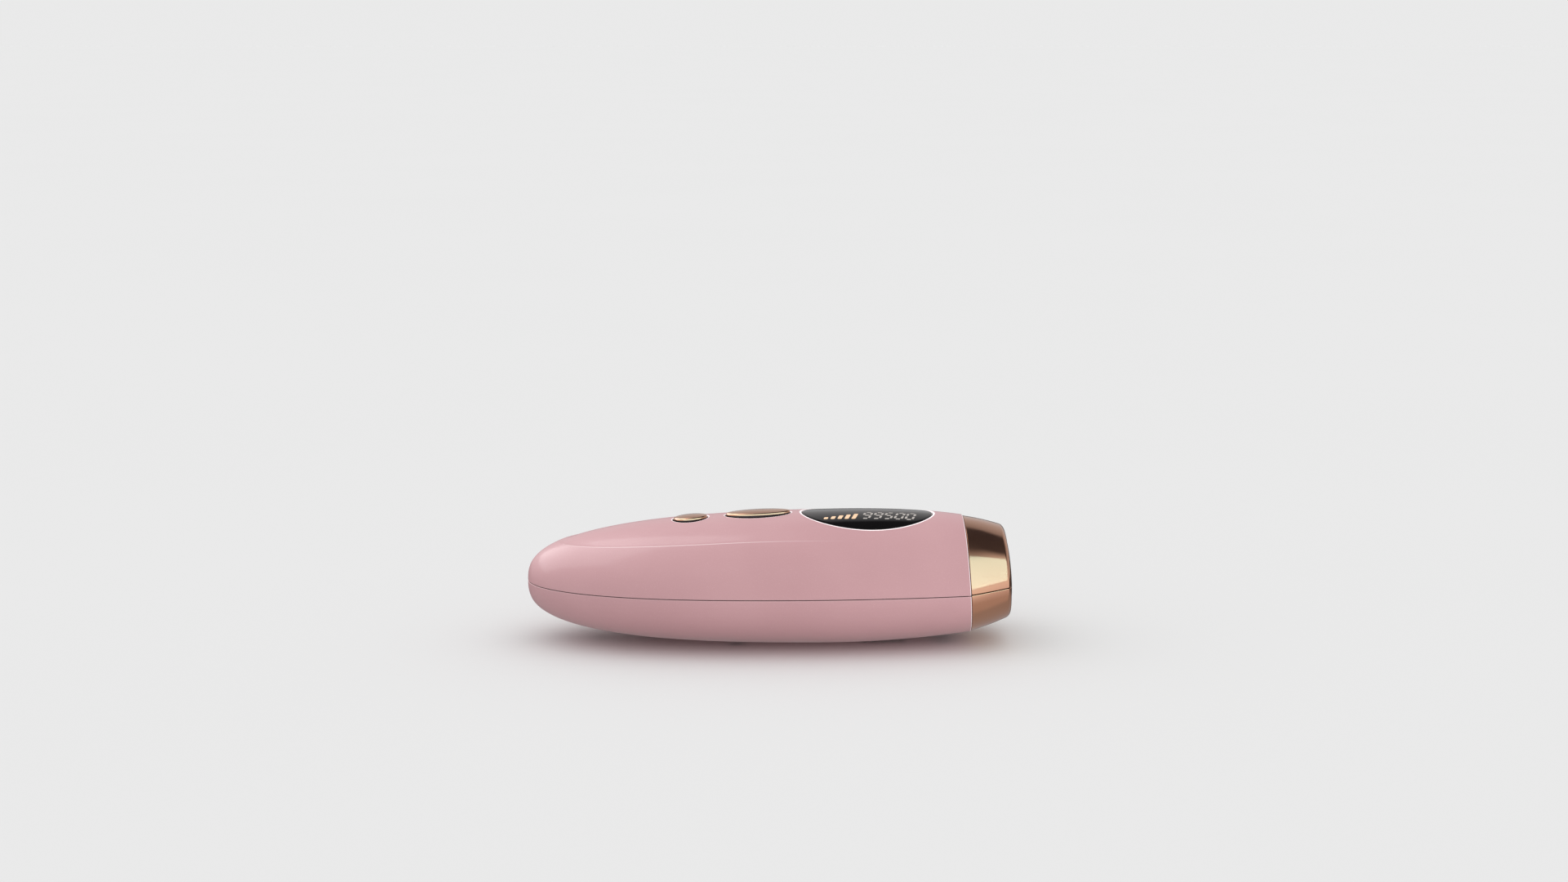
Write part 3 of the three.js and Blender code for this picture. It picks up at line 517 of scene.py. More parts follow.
def through_knots(value, source, target):
    """Carries shares from 0 to 1 through a bent scale that is symmetric about its middle."""
    half = np.minimum(value, 1 - value)
    bent = target[-1]
    for k in (2, 1, 0):
        along = target[k] + (half - source[k]) / (source[k + 1] - source[k]) * (target[k + 1] - target[k])
        bent = np.where(half <= source[k + 1], along, bent)
    return np.where(value <= 0.5, bent, 1 - bent)


def end_x(a, side):
    """Where the column at share `a` across the section reaches the tilted seam."""
    lift = half_size(form_of(side), BODY_LENGTH) * np.sin(section_angle(a, SEAM_X, side))
    return SEAM_X - EDGE - side * lift * math.tan(TILT)


def to_grid(x, y, side):
    """Grid coordinates of a point of the skin, in cells."""
    a = section_share(y, x, side)
    columns, shares = column_knots(x, side)
    station = share_station((x - TAIL_X) / (end_x(a, side) - TAIL_X))
    return rows(station * STATIONS, through_knots(a, shares, columns) * ACROSS)


def skin_grid(side):
    """Points and normals of the skin, from station 1 to the seam; the tail's tip is left out."""
    stations, columns = np.arange(1, STATIONS + 1) / STATIONS, np.arange(ACROSS + 1) / ACROSS
    s, column = np.meshgrid(stations, columns, indexing="ij")
    a = column
    for _ in range(6):
        x = TAIL_X + (end_x(a, side) - TAIL_X) * station_share(s)
        a = through_knots(column, *column_knots(x, side))
    angle = section_angle(a, x, side)
    y = -half_size(WIDTH, x - TAIL_X) * np.cos(angle)
    z = PARTING_Z + side * half_size(form_of(side), x - TAIL_X) * np.sin(angle)
    z = z - panel_dip(x, y) if side > 0 else np.maximum(z, 0.0)
    return rows(x, y, z), skin_normal(x, y, z, side)


def top_rim(outline, radius, side=1, land=0.0):
    """An opening that runs straight up (or down) through the skin."""
    place = lambda x, y, depth: rows(x, y, skin_height(x, y, side) - side * depth)
    return Rim(outline, radius, place, rows(*outline.outward.T, 0), side, land=land)


def tail_rim(outline, radius):
    """An opening that runs forward into the tail; its outline is in y and z."""

    def place(y, z, depth):
        low, high = np.full(len(y), TAIL_X), np.full(len(y), TAIL_X + 40 * MM)
        for _ in range(50):
            x = (low + high) / 2
            w, h = half_size(WIDTH, x - TAIL_X), half_size(BELLY, x - TAIL_X)
            outside = (y / w) ** 2 + ((z - PARTING_Z) / h) ** 2 > 1
            low, high = np.where(outside, x, low), np.where(outside, high, x)
        return rows((low + high) / 2 + depth, y, z)

    return Rim(outline, radius, place, rows(0, *outline.outward.T), -1)


def grid_quads(grid, i, j):
    return rows(grid[i, j], grid[i + 1, j], grid[i + 1, j + 1], grid[i, j + 1]).reshape(-1, 4)


# In cells of the skin's grid: how far a patch reaches past its openings, and how near its points come.
PATCH_MARGIN = 1.2
PATCH_CLEARANCE = 0.55


def shell(name, side, groups):
    """One half of the pod: skin, inner face, rolled rim, and the openings of each group cut through.

    A group is a list of (rim, stages) whose openings share one patch of re-meshed skin.
    """
    solid = Solid()
    points, normals = skin_grid(side)
    shape = points.shape[:2]
    grid = solid.add(points).reshape(shape)
    tip = solid.add([TAIL_X, 0, PARTING_Z + side * (PARTING_HALF_GAP + EDGE)])[0]
    sheet_normals = [normals.reshape(-1, 3), [(-1, 0, 0)]]

    whole = np.ones((shape[0] - 1, shape[1] - 1), bool)
    triangles = [rows(tip, grid[0, :-1], grid[0, 1:])]
    loops = []
    for group in groups:
        places = [rim.on_skin() for rim, _ in group]
        spots = [spot - [1, 0] for spot, _, _ in places]
        cells = np.concatenate(spots)
        low = np.maximum(np.floor(cells.min(0) - PATCH_MARGIN), 0).astype(int)
        high = np.minimum(np.ceil(cells.max(0) + PATCH_MARGIN), np.array(shape) - 1).astype(int)
        whole[low[0] : high[0], low[1] : high[1]] = False
        ahead, across = np.arange(low[0], high[0]), np.arange(low[1], high[1])
        border = [rows(ahead, low[1]), rows(high[0], across)]
        border += [rows(ahead[::-1] + 1, high[1]), rows(low[0], across[::-1] + 1)]
        border = np.concatenate(border)
        between = rows(*np.meshgrid(ahead[1:], across[1:], indexing="ij")).reshape(-1, 2)
        for spot in spots:
            between = between[~inside(between, spot)]
            between = between[nearest(between, spot) > PATCH_CLEARANCE]
        patch = fill(border, spots, between)
        numbers = [grid[border[:, 0], border[:, 1]]]
        for (rim, stages), (_, where, face_normals) in zip(group, places):
            ring = solid.add(where)
            sheet_normals.append(face_normals)
            loops.append((rim, stages, ring, face_normals))
            numbers.append(ring)
        numbers.append(grid[between[:, 0], between[:, 1]])
        triangles.append(np.concatenate(numbers)[patch])

    outer_points = np.concatenate(solid.points)
    outer_normals = np.concatenate(sheet_normals)
    i, j = np.argwhere(whole).T
    quads = grid_quads(grid, i, j)

    perimeter = np.concatenate([[tip], grid[:, 0], grid[-1, 1:], grid[-2::-1, -1]])
    seam_start, seam_end = shape[0], shape[0] + ACROSS
    leave = np.tile([0.0, 0, -side], (len(perimeter), 1))
    leave[seam_start + 1 : seam_end] = HEAD_AXIS
    leave[[seam_start, seam_end]] += HEAD_AXIS

    inner_points = outer_points - WALL * outer_normals
    inner_points[perimeter] += EDGE * leave
    inner = solid.add(inner_points)
    first_column, last_column = np.floor(np.array(EDGE_COLUMNS) * ACROSS) + [1, -2]
    on_edge = np.minimum(j, ACROSS - 1 - j)
    on_edge = (on_edge >= first_column) & (on_edge <= last_column) & (side > 0)
    x = points[i, j, 0]
    # A painted highlight along the panel's edge, fading out towards the display.
    glint = PANEL_GLINT * on_edge * panel_fade(x) * (panel_share(x) < EDGE_LIMIT)
    for faces in [quads, *triangles]:
        solid.face(faces, outer_normals[faces], glint if faces is quads else 0.0)
        solid.face(inner[faces], -outer_normals[faces])

    # A painted highlight along the rolled edges: faint along the parting line, bright along the seam to the
    # head.
    rim_painted_glint = np.full(len(perimeter), PARTING_GLINT)
    rim_painted_glint[seam_start:seam_end] = SEAM_GLINT
    solid.round_off(perimeter, inner[perimeter], outer_normals[perimeter], leave, rim_painted_glint)
    for rim, stages, first, first_normals in loops:
        rim.roll(solid, first, first_normals, stages, inner[first])
    return solid.build(name)


# ---- the lamp head


HEAD_PLACE = Matrix.Translation((SEAM_X, 0, PARTING_Z)) @ Matrix.Rotation(-TILT, 4, "Y")
HEAD_TURN = np.array(HEAD_PLACE)[:3, :3].T


def in_head(points):
    """From the head's own frame, whose x is its axis and whose origin is on the seam."""
    return points @ HEAD_TURN + HEAD_PLACE.translation


def plate(name, face_x, depth, outer, outer_stages, holes, radius):
    """A flat plate across the head's axis with rolled front edges and straight holes."""
    solid = Solid()
    place = lambda y, z, below: in_head(rows(face_x - below, y, z))
    rims = []
    for outline in [outer, *holes]:
        outward = rows(0, *outline.outward.T) @ HEAD_TURN
        rims.append(Rim(outline, radius, place, outward, hole=1 if rims else -1))
    border, *loops = [rim.outline(rim.hole * radius) for rim in rims]
    triangles = fill(border, loops)
    front = np.array(HEAD_AXIS)
    rings, backs = [[solid.add(rim.at(rim.hole * radius, d)) for rim in rims] for d in (0, depth)]
    for numbers, facing in ((np.concatenate(rings), front), (np.concatenate(backs), -front)):
        solid.face(numbers[triangles], np.broadcast_to(facing, (len(triangles), 3, 3)))
    for rim, ring, back in zip(rims, rings, backs):
        stages = outer_stages if rim.hole < 0 else []
        rim.roll(solid, ring, np.broadcast_to(front, (len(ring), 3)), stages, back, steps=4)
    return solid.build(name)


# The head's half width, height above its axis and height below it: at the seam, at the front and at the
# window's opening, mm.
HEAD_SIZES = ((29.8, 24.3, 19.2), (22.8, 15.7, 11.6), (18.1, 16.45, 11.6))
HEAD_BULGE = 0.35 * MM


def head_skin(u, a, side):
    """A point of the head's skin in the head's frame.

    `u` is 0 at the seam, 1 to 2 over the rounded rim and 3 at the window; `a` runs from one joint line
    (0) to the other (1).
    """
    turn = np.clip(u - 1, 0, 1) * math.pi / 2
    start = HEAD_GAP + EDGE
    x = start + (HEAD_LENGTH - HEAD_FILLET - start) * np.clip(u, 0, 1) + HEAD_FILLET * np.sin(turn)
    share = np.clip(x / HEAD_LENGTH, 0, 1)
    bulge = HEAD_BULGE * np.sin(math.pi * share) - HEAD_FILLET * (1 - np.cos(turn))
    sizes = []
    for seam, front, opening in HEAD_SIZES:
        size = (seam + (front - seam) * share) * MM + bulge
        sizes.append(size + (opening * MM + EDGE - size) * np.clip(u - 2, 0, 1))
    half, up, down = sizes
    level = FACE_CENTRE_Z * share
    joint = HEAD_JOINT_START + HEAD_JOINT_RISE * x + side * (PARTING_HALF_GAP + EDGE)
    offset = side * (joint - level)
    start = np.arcsin(np.clip(offset / np.where(offset * side > 0, up, down), -1, 1))
    angle = start + a * (math.pi - 2 * start)
    height = np.where(np.sin(angle) * side > 0, up, down)
    return rows(x, -half * np.cos(angle), level + side * height * np.sin(angle))


def head_cover(name, side):
    """Half of the gold head: side wall, rounded rim and front lip, an inner face and rolled edges."""
    lip = 1 + np.concatenate([np.linspace(0, 1, 11)[1:], 1 + np.linspace(0, 1, 4)[1:]])
    stations = np.concatenate([np.linspace(0, 1, 15), lip])
    u, a = np.meshgrid(stations, np.linspace(0, 1, 121), indexing="ij")
    step = 1e-4
    along = head_skin(np.minimum(u + step, 3), a, side) - head_skin(np.maximum(u - step, 0), a, side)
    over = head_skin(u, np.minimum(a + step, 1), side) - head_skin(u, np.maximum(a - step, 0), side)
    points = head_skin(u, a, side)
    normals = unit(np.cross(over, along))
    centre = points - [6 * MM, 0, FACE_CENTRE_Z]
    normals *= np.sign((normals * centre).sum(-1, keepdims=True))

    joint_normal = np.array(Vector((-HEAD_JOINT_RISE, 0, 1)).normalized())
    shape = points.shape[:2]
    numbers = np.arange(shape[0] * shape[1]).reshape(shape)
    leave = np.zeros(points.shape)
    leave[:, [0, -1]] -= side * joint_normal
    leave[0] += [-1, 0, 0]
    leave[-1] += unit(-points[-1] * [0, 1, 1] + [0, 0, FACE_CENTRE_Z])

    solid = Solid()
    outer_normals, leave = normals.reshape(-1, 3) @ HEAD_TURN, leave.reshape(-1, 3) @ HEAD_TURN
    outer = solid.add(in_head(points))
    inner = solid.add(solid.at(outer) - HEAD_WALL * outer_normals + EDGE * leave)
    quads = grid_quads(numbers, *np.ix_(range(shape[0] - 1), range(shape[1] - 1)))
    solid.face(outer[quads], outer_normals[quads])
    solid.face(inner[quads], -outer_normals[quads])

    edge = np.concatenate([numbers[:, 0], numbers[-1, 1:], numbers[-2::-1, -1], numbers[0, -2:0:-1]])
    solid.round_off(outer[edge], inner[edge], outer_normals[edge], leave[edge])
    return solid.build(name)


# ---- buttons and display


def ring_on(height, outline, offset, lift=0.0, share=1.0):
    """A loop `lift` above a surface height(x, y): the outline shrunk to a share of itself."""
    x, y = (outline.centre + (outline(offset) - outline.centre) * share).T
    return rows(x, y, height(x, y) + lift)


def crown(x, y):
    return skin_height(x, y, 1)


def ridge(x, y):
    """The crown's middle line carried level to both sides, where the crown itself falls away."""
    return skin_height(x, 0 * y, 1)


def flat(x, y):
    return 0 * x


BUTTON_FLANGE = 1.3 * MM
BUTTON_GAP = 0.4 * MM
BUTTON_WIDEN = 1.2 * MM  # the openings leave this much more beside the caps than at their ends
BUTTON_EDGE = 0.35 * MM
CAP_DOME = 0.3 * MM
# Below the cap's rounded side, the black of the button's body also serves as painted shade in the gap.
CAP_SIDE = (0.8 * MM, 0.7 * MM)  # reach and height of the cap's rounded side; the black body is below it
CAP_OVERHANG = 0.45 * MM
STEM_RADIUS = 2.2 * MM


def button_oval(node, grow, count, widen=0.0):
    """The button's outline at the height of the shell, from the box of its flange."""
    low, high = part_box(node)
    spot = ((low.x + high.x) / 2, 0)
    half_length = (high.x - low.x) / 2 - BUTTON_FLANGE + grow
    half_width = (high.y - low.y) / 2 - BUTTON_FLANGE + grow + widen
    return oval(spot, half_length, half_width, count)


def button_cap(name, node, lift, count):
    """The bright cap, like a pebble: a shallow dome whose rounded side comes down to the black body."""
    cap = button_oval(node, -BUTTON_GAP, count)
    reach, height = CAP_SIDE
    rings = []
    for share in np.linspace(0, 1, 18)[1:-1]:
        rings.append(ring_on(ridge, cap, -reach, lift + CAP_DOME * (1 - share**2), share))
    for sine, cosine in quarter(10):
        rings.append(ring_on(ridge, cap, -reach * (1 - sine), lift - height * (1 - cosine)))
    smooth = [True] * (len(rings) - 1) + [False, False]
    rings.append(ring_on(ridge, cap, -CAP_OVERHANG, lift - height))
    return Solid().stack(rings, smooth).build(name)


def button_body(name, node, lift, flange_base, count):
    """The black body below the cap, with its flange beneath the shell and the stem to the switch. Its black
    also serves as painted shade in the gap under the cap.
    """
    body = button_oval(node, -BUTTON_GAP - CAP_OVERHANG, count)
    flange = button_oval(node, BUTTON_FLANGE, count, BUTTON_WIDEN)
    stem = oval(body.centre, STEM_RADIUS, STEM_RADIUS, count)
    top = lift - CAP_SIDE[1] - 0.01 * MM
    below_shell = -WALL - BUTTON_GAP
    rings = [ring_on(ridge, body, 0, top, 0.5), ring_on(ridge, body, 0, top)]
    rings += [ring_on(crown, body, 0, below_shell), ring_on(crown, flange, 0, below_shell)]
    rings += [ring_on(flat, flange, 0, flange_base), ring_on(flat, stem, 0, flange_base)]
    rings += [ring_on(flat, stem, 0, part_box(node)[0].z)]
    return Solid().stack(rings, [True] + [False] * 6).build(name)


def display_oval(grow=0.0):
    return oval((LENS_X, 0), LENS_HALF[0] + grow, LENS_HALF[1] + grow, 180)


GLASS_DOME = 0.25 * MM
GLASS_SUNK = 0.06 * MM
GLASS_EDGE = 0.35 * MM


def glass_height(x, y):
    """The window's surface: a hair below the shell at its rim and slightly domed."""
    across = ((x - LENS_X) / LENS_HALF[0]) ** 2 + (y / LENS_HALF[1]) ** 2
    return skin_height(x, y, 1) - GLASS_SUNK + GLASS_DOME * np.maximum(1 - across, 0)


def display_window(name):
    """The glossy window, with a rounded edge and a base that follows the crown."""
    glass = display_oval()
    thickness = 1.5 * MM
    shares = np.linspace(0, 1, 26)[1:-1]
    rings = [ring_on(glass_height, glass, -GLASS_EDGE, share=share) for share in shares]
    for sine, cosine in quarter(4):
        rings.append(ring_on(glass_height, glass, -GLASS_EDGE * (1 - sine), -GLASS_EDGE * (1 - cosine)))
    smooth = [True] * (len(rings) - 1) + [False, False]
    rings += [ring_on(crown, glass, 0, -thickness, share) for share in (1, 0.7, 0.4, 0.1)]
    return Solid().stack(rings, smooth + [True] * 3).build(name)


MARK_PROUD = 0.05 * MM
MARK_SUNK = 0.02 * MM


def add_mark(solid, low, high, lean, foot):
    """A thin mark on the display between two corners; `lean` slants it along x away from y = `foot`."""
    corner = min(high[0] - low[0], high[1] - low[1]) * 0.3
    centre = ((low[0] + high[0]) / 2, (low[1] + high[1]) / 2)
    shape = rounded_box(centre, high[0] - low[0], high[1] - low[1], corner, per_corner=4, per_side=4)
    points = shape()
    mark = outline_of(points + rows((points[:, 1] - foot) * lean, 0), shape.outward)
    heights = ((MARK_PROUD, 0.4), (MARK_PROUD, 1.0), (-MARK_SUNK, 1.0), (-MARK_SUNK, 0.4))
    rings = [ring_on(glass_height, mark, 0, lift, share) for lift, share in heights]
    solid.stack(rings, [True, False, False, True])


# ---- materials


class Nodes:
    """A node tree being built. Where a colour is asked for, a node's output will do."""

    def __init__(self, tree):
        self.tree = tree

    def node(self, kind, inputs=(), **settings):
        """A new node; `inputs` pairs its sockets' names or numbers with outputs or plain values."""
        made = self.tree.nodes.new(kind)
        for key, value in settings.items():
            setattr(made, key, value)
        for key, source in inputs:
            if isinstance(source, bpy.types.NodeSocket):
                self.tree.links.new(source, made.inputs[key])
            else:
                made.inputs[key].default_value = source
        return made

    def spread(self, value, low, high, start=0.0, stop=1.0, **settings):
        ends = [("From Min", start), ("From Max", stop), ("To Min", low), ("To Max", high)]
        return self.node("ShaderNodeMapRange", [("Value", value), *ends], **settings).outputs[0]

    def blend(self, factor, *colours):
        colours = [(*c, 1) if isinstance(c, tuple) else c for c in colours]
        return self.node("ShaderNodeMix", zip((0, 6, 7), (factor, *colours)), data_type="RGBA").outputs[2]


class Shader(Nodes):
    """A procedural material round one Principled surface. Lengths in its patterns are in metres."""

    def __init__(self, name, **inputs):
        self.material = bpy.data.materials.new(name)
        self.material.use_nodes = True
        super().__init__(self.material.node_tree)
        self.surface = self.tree.nodes["Principled BSDF"]
        for key, value in inputs.items():
            self.surface.inputs[key.replace("_", " ")].default_value = value
        self.place = self.node("ShaderNodeTexCoord").outputs["Object"]

    def noise(self, size, detail=2.0, stretch=(1, 1, 1)):
        """Noise whose blobs are about `size` across."""
        scale = [s / size for s in stretch]
        place = self.node("ShaderNodeMapping", [("Vector", self.place), ("Scale", scale)]).outputs[0]
        inputs = [("Vector", place), ("Scale", 1.0), ("Detail", detail)]
        return self.node("ShaderNodeTexNoise", inputs).outputs[0]

    def cloud(self, size, detail=2.0):
        """Broad noise with its middle levels spread from 0 to 1."""
        return self.spread(self.noise(size, detail), 0, 1, 0.35, 0.65)

    def bands(self, size, axis, distortion=0.0):
        inputs = [("Vector", self.place), ("Scale", 0.314 / size), ("Distortion", distortion)]
        return self.node("ShaderNodeTexWave", inputs, bands_direction=axis).outputs["Fac"]

    def finish(self, colour, rough, relief=None, depth=0.0, strength=1.0):
        """Drives colour, roughness and, from `relief`, a bump `depth` metres deep."""
        drives = {"Base Color": colour, "Roughness": rough}
        if relief:
            inputs = [("Strength", strength), ("Distance", depth), ("Height", relief)]
            drives["Normal"] = self.node("ShaderNodeBump", inputs).outputs[0]
        for key, source in drives.items():
            self.tree.links.new(source, self.surface.inputs[key])
        return self.material


MIDDLE = (0.3, 0.7)  # the levels of fine noise that a roughness runs between


def pink_gloss():
    """Pearly moulded plastic with fine flake, and a painted highlight on the edges that the mesh marks."""
    look = Shader("pink_gloss", Coat_Weight=0.15, Coat_Roughness=0.1, IOR=1.46, Specular_IOR_Level=0.15)
    base = look.blend(look.cloud(0.045, 3), (0.448, 0.257, 0.272), (0.472, 0.275, 0.29))
    flake = look.spread(look.noise(0.00035, 1), 0, 0.1, 0.55, 0.8)
    base = look.blend(flake, base, (0.72, 0.5, 0.51))
    # Painted highlight: on marked faces the colour is blended towards near-white, by the mesh's per-face
    # value.
    glint = look.node("ShaderNodeAttribute", attribute_name="glint").outputs["Fac"]
    rough = look.spread(look.noise(0.012, 4), 0.3, 0.4, *MIDDLE)
    return look.finish(look.blend(glint, base, (0.97, 0.88, 0.89)), rough, look.noise(0.0022), 0.000012)


def rose_gold():
    """Vacuum-metallised plastic: a copper mirror, very slightly uneven."""
    look = Shader("rose_gold", Metallic=1.0)
    colour = look.blend(look.cloud(0.02), (0.64, 0.35, 0.23), (0.68, 0.38, 0.25))
    rough = look.spread(look.noise(0.004, 4, (0.25, 1, 1)), 0.1, 0.17, *MIDDLE)
    return look.finish(colour, rough, look.noise(0.005), 0.000012)


def display_glass():
    """Smoked window: nearly black, with the dot matrix of the panel just showing under the gloss."""
    look = Shader("display_glass", IOR=1.52)
    lines = [look.spread(look.bands(0.0006, axis), 0, 1, 0.3, 0.9) for axis in "YX"]
    cell = look.node("ShaderNodeMath", enumerate(lines), operation="MULTIPLY").outputs[0]
    colour = look.blend(cell, (0.002, 0.002, 0.002), (0.005, 0.005, 0.005))
    rough = look.spread(look.noise(0.008, 4), 0.04, 0.09, *MIDDLE)
    return look.finish(colour, rough, look.noise(0.006, 1), 0.000006)


def plain(name, dark, light, drift, grain, rough, relief=None, depth=0.0, strength=1.0, **inputs):
    """A finish whose colour, roughness and bump each follow one noise, given as its size, detail..."""
    look = Shader(name, **inputs)
    colour = look.blend(look.noise(*drift), dark, light)
    relief = look.noise(*relief) if relief else None
    return look.finish(colour, look.spread(look.noise(*grain), *rough), relief, depth, strength)


def gloss_black():
    shades = ((0.012, 0.012, 0.013), (0.02, 0.02, 0.022))
    rough = (0.12, 0.22, *MIDDLE)
    coat = {"Coat_Weight": 0.6, "Coat_Roughness": 0.05}
    return plain("gloss_black", *shades, (0.006, 4), (0.006, 4), rough, (0.003,), 0.000008, **coat)


def matt_moulding(name, dark, light, grain=0.00045):
    """Spark-eroded plastic: a fine even grain."""
    grain = (grain, 3)
    return plain(name, dark, light, (0.01, 3), grain, (0.5, 0.75, *MIDDLE), grain, 0.00003, 0.8)


def plated(name, dark, light, rough, stretch=(1, 1, 1)):
    """Metal with a directional brush: `stretch` squeezes the noise across the strokes."""
    strokes = (0.0008, 4, stretch)
    rough = (rough, rough + 0.15, *MIDDLE)
    return plain(name, dark, light, strokes, strokes, rough, strokes, 0.000006, Metallic=1.0)


def rubber(name, dark, light):
    return plain(name, dark, light, (0.005,), (0.0006, 3), (0.4, 0.55), (0.0006, 3), 0.00001)


def clear(name, tint, rough):
    """Glass with a faint film of unevenness."""
    light = tuple(min(1.0, c * 1.08) for c in tint)
    glass = {"Transmission_Weight": 1.0, "IOR": 1.46}
    return plain(name, tint, light, (0.004, 3), (0.004, 3), (rough, rough + 0.04), **glass)


def circuit_board():
    """Green mask over copper tracks that run along X and Y in patches."""
    look = Shader("circuit_board", Coat_Weight=0.5, Coat_Roughness=0.2)
    inputs = [("Vector", look.place), ("Scale", 180.0), ("Mortar Size", 0.09), ("Mortar Smooth", 0.1)]
    tracks = look.node("ShaderNodeTexBrick", inputs, offset=0.5).outputs["Fac"]
    mask = look.blend(look.noise(0.006), (0.012, 0.09, 0.035), (0.02, 0.13, 0.05))
    rough = look.spread(look.noise(0.002, 3), 0.3, 0.45)
    return look.finish(look.blend(tracks, mask, (0.05, 0.24, 0.09)), rough, tracks, 0.00003)


def wound_wire():
    look = Shader("wound_wire", Metallic=1.0)
    turns = look.bands(0.0005, "Z", 0.4)
    colour = look.blend(turns, (0.28, 0.09, 0.03), (0.72, 0.33, 0.14))
    return look.finish(colour, look.spread(turns, 0.45, 0.28), turns, 0.00012)


def ribbed_film():
    """Flat cable: pale film over parallel conductors."""
    look = Shader("ribbed_film", Coat_Weight=0.4)
    cores = look.bands(0.001, "X")
    colour = look.blend(cores, (0.62, 0.56, 0.45), (0.85, 0.82, 0.74))
    return look.finish(colour, look.spread(look.noise(0.001), 0.35, 0.5), cores, 0.00008)


def sleeve():
    """Shrink sleeve with a pale polarity stripe along the can."""
    look = Shader("capacitor_sleeve", Coat_Weight=0.3)
    stripe = look.spread(look.bands(0.035, "Y"), 0, 1, 0.9, 0.93)
    film = look.blend(look.noise(0.008, 3), (0.012, 0.03, 0.1), (0.02, 0.045, 0.14))
    rough = look.spread(look.noise(0.002), 0.3, 0.42)
    return look.finish(look.blend(stripe, film, (0.5, 0.53, 0.58)), rough, look.noise(0.004), 0.00003)


LOOKS = {
    "pink_shell": pink_gloss(),
    "rose_gold": rose_gold(),
    "black_gloss": gloss_black(),
    "black_plastic": matt_moulding("matt_black", (0.018, 0.018, 0.019), (0.028, 0.028, 0.03)),
    "circuit_board": circuit_board(),
    "steel": plated("plated_steel", (0.5, 0.5, 0.51), (0.68, 0.68, 0.69), 0.22),
    "aluminium": plated("bright_aluminium", (0.7, 0.7, 0.71), (0.86, 0.86, 0.87), 0.12, (0.1, 1, 1)),
    "ferrite": matt_moulding("ferrite", (0.03, 0.029, 0.028), (0.06, 0.058, 0.055), 0.0008),
    "copper": wound_wire(),
    "filter_glass": clear("filter_glass", (0.9, 0.42, 0.14), 0.01),
    "quartz": clear("quartz", (0.95, 0.97, 1.0), 0.0),
    "ceramic": matt_moulding("ceramic", (0.72, 0.69, 0.62), (0.8, 0.77, 0.7), 0.0006),
    "capacitor_sleeve": sleeve(),
    "lcd": display_glass(),
    "wire_red": rubber("red_insulation", (0.35, 0.01, 0.01), (0.45, 0.015, 0.015)),
    "wire_black": rubber("black_insulation", (0.012, 0.012, 0.012), (0.02, 0.02, 0.02)),
    "ribbon": ribbed_film(),
}
GOLD_PRINT = matt_moulding("gold_print", (0.66, 0.42, 0.25), (0.85, 0.6, 0.4))
GREY_PRINT = matt_moulding("grey_print", (0.32, 0.295, 0.275), (0.42, 0.385, 0.36))

# ---- the handset


def build_shells():
    gap, ledge, ledge_width, ledge_depth = 0.2 * MM, 1.9 * MM, 2.3 * MM, 0.8 * MM
    display = display_oval(gap)
    steps = [(0, ledge), (-ledge_width, ledge), (-ledge_width, ledge + ledge_depth)]
    tops = [(top_rim(display, OPENING_EDGE, land=DISPLAY_LAND), steps)]
    for name, (_, _, count) in BUTTONS.items():
        opening = button_oval(f"{name}_button", 0, count, BUTTON_WIDEN)
        tops.append((top_rim(opening, BUTTON_EDGE, land=BUTTON_LAND), [(0, WALL)]))
    upper = shell("shell_upper", 1, [tops])
    dress(upper, "handset", "pink_shell", "upper_shell")

    # Five air slots behind the fan, spread backwards, and two ahead of it.
    fan_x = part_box("fan_frame")[0].x
    places = [-14.5, -11.1, -7.7, -4.3, -0.9, 12.2, 15.4]
    vents = [upright_slot((fan_x + place * MM, 0), 1.8 * MM, 17.8 * MM) for place in places]
    vent_edge = 0.25 * MM
    inlet = centre_of("power_jack_pin")
    inlet_radius, inlet_edge = 3.75 * MM, 0.3 * MM
    jack = tail_rim(oval((inlet.y, inlet.z), inlet_radius, inlet_radius, 64), inlet_edge)
    groups = [
        [(top_rim(vent, vent_edge, -1), [(0, WALL)]) for vent in vents],
        [screw_well("shell_screw_left"), screw_well("shell_screw_right")],
        [screw_well("shell_screw_rear")],
        [(jack, [(0, WALL)])],
    ]
    lower = shell("shell_lower", -1, groups)
    dress(lower, "handset", "pink_shell", "lower_shell")


SCREW_HEAD = 1.9 * MM
BOSS_GAP = 0.3 * MM


def screw_well(node):
    """A round well up through the belly to the screw's seat, and the boss that carries it."""
    low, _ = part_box(node)
    spot = centre_of(node)
    skin = skin_height(np.array(spot.x), np.array(spot.y), -1)
    radius, edge, shoulder = 2.6 * MM, 0.4 * MM, 1.1 * MM
    seat = low.z + SCREW_HEAD - skin
    top = PARTING_Z - BOSS_GAP - skin
    rim = top_rim(oval((spot.x, spot.y), radius, radius, 48), edge, -1)
    return rim, [(0, seat), (-shoulder, seat), (-shoulder, top), (edge, top)]


# The cap's lift above the crown, the flange's height above the board, and the points round the outline.
BUTTONS = {"flash": (0.9 * MM, 5.6 * MM, 120), "power": (0.75 * MM, 5.1 * MM, 84)}


def build_top_controls():
    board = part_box("control_board")[1].z
    for name, (lift, flange_above_board, count) in BUTTONS.items():
        node = f"{name}_button"
        cap = button_cap(f"{name}_cap", node, lift, count)
        dress(cap, f"{name}_key", "rose_gold", node)
        body = button_body(f"{name}_body", node, lift, board + flange_above_board, count)
        # The body's black also serves as painted shade in the gap beneath the cap.
        dress(body, f"{name}_key", "black_gloss", node)
    dress(display_window("display_glass"), "handset", "black_gloss", "display_lens", look=LOOKS["lcd"])
    mark_display()


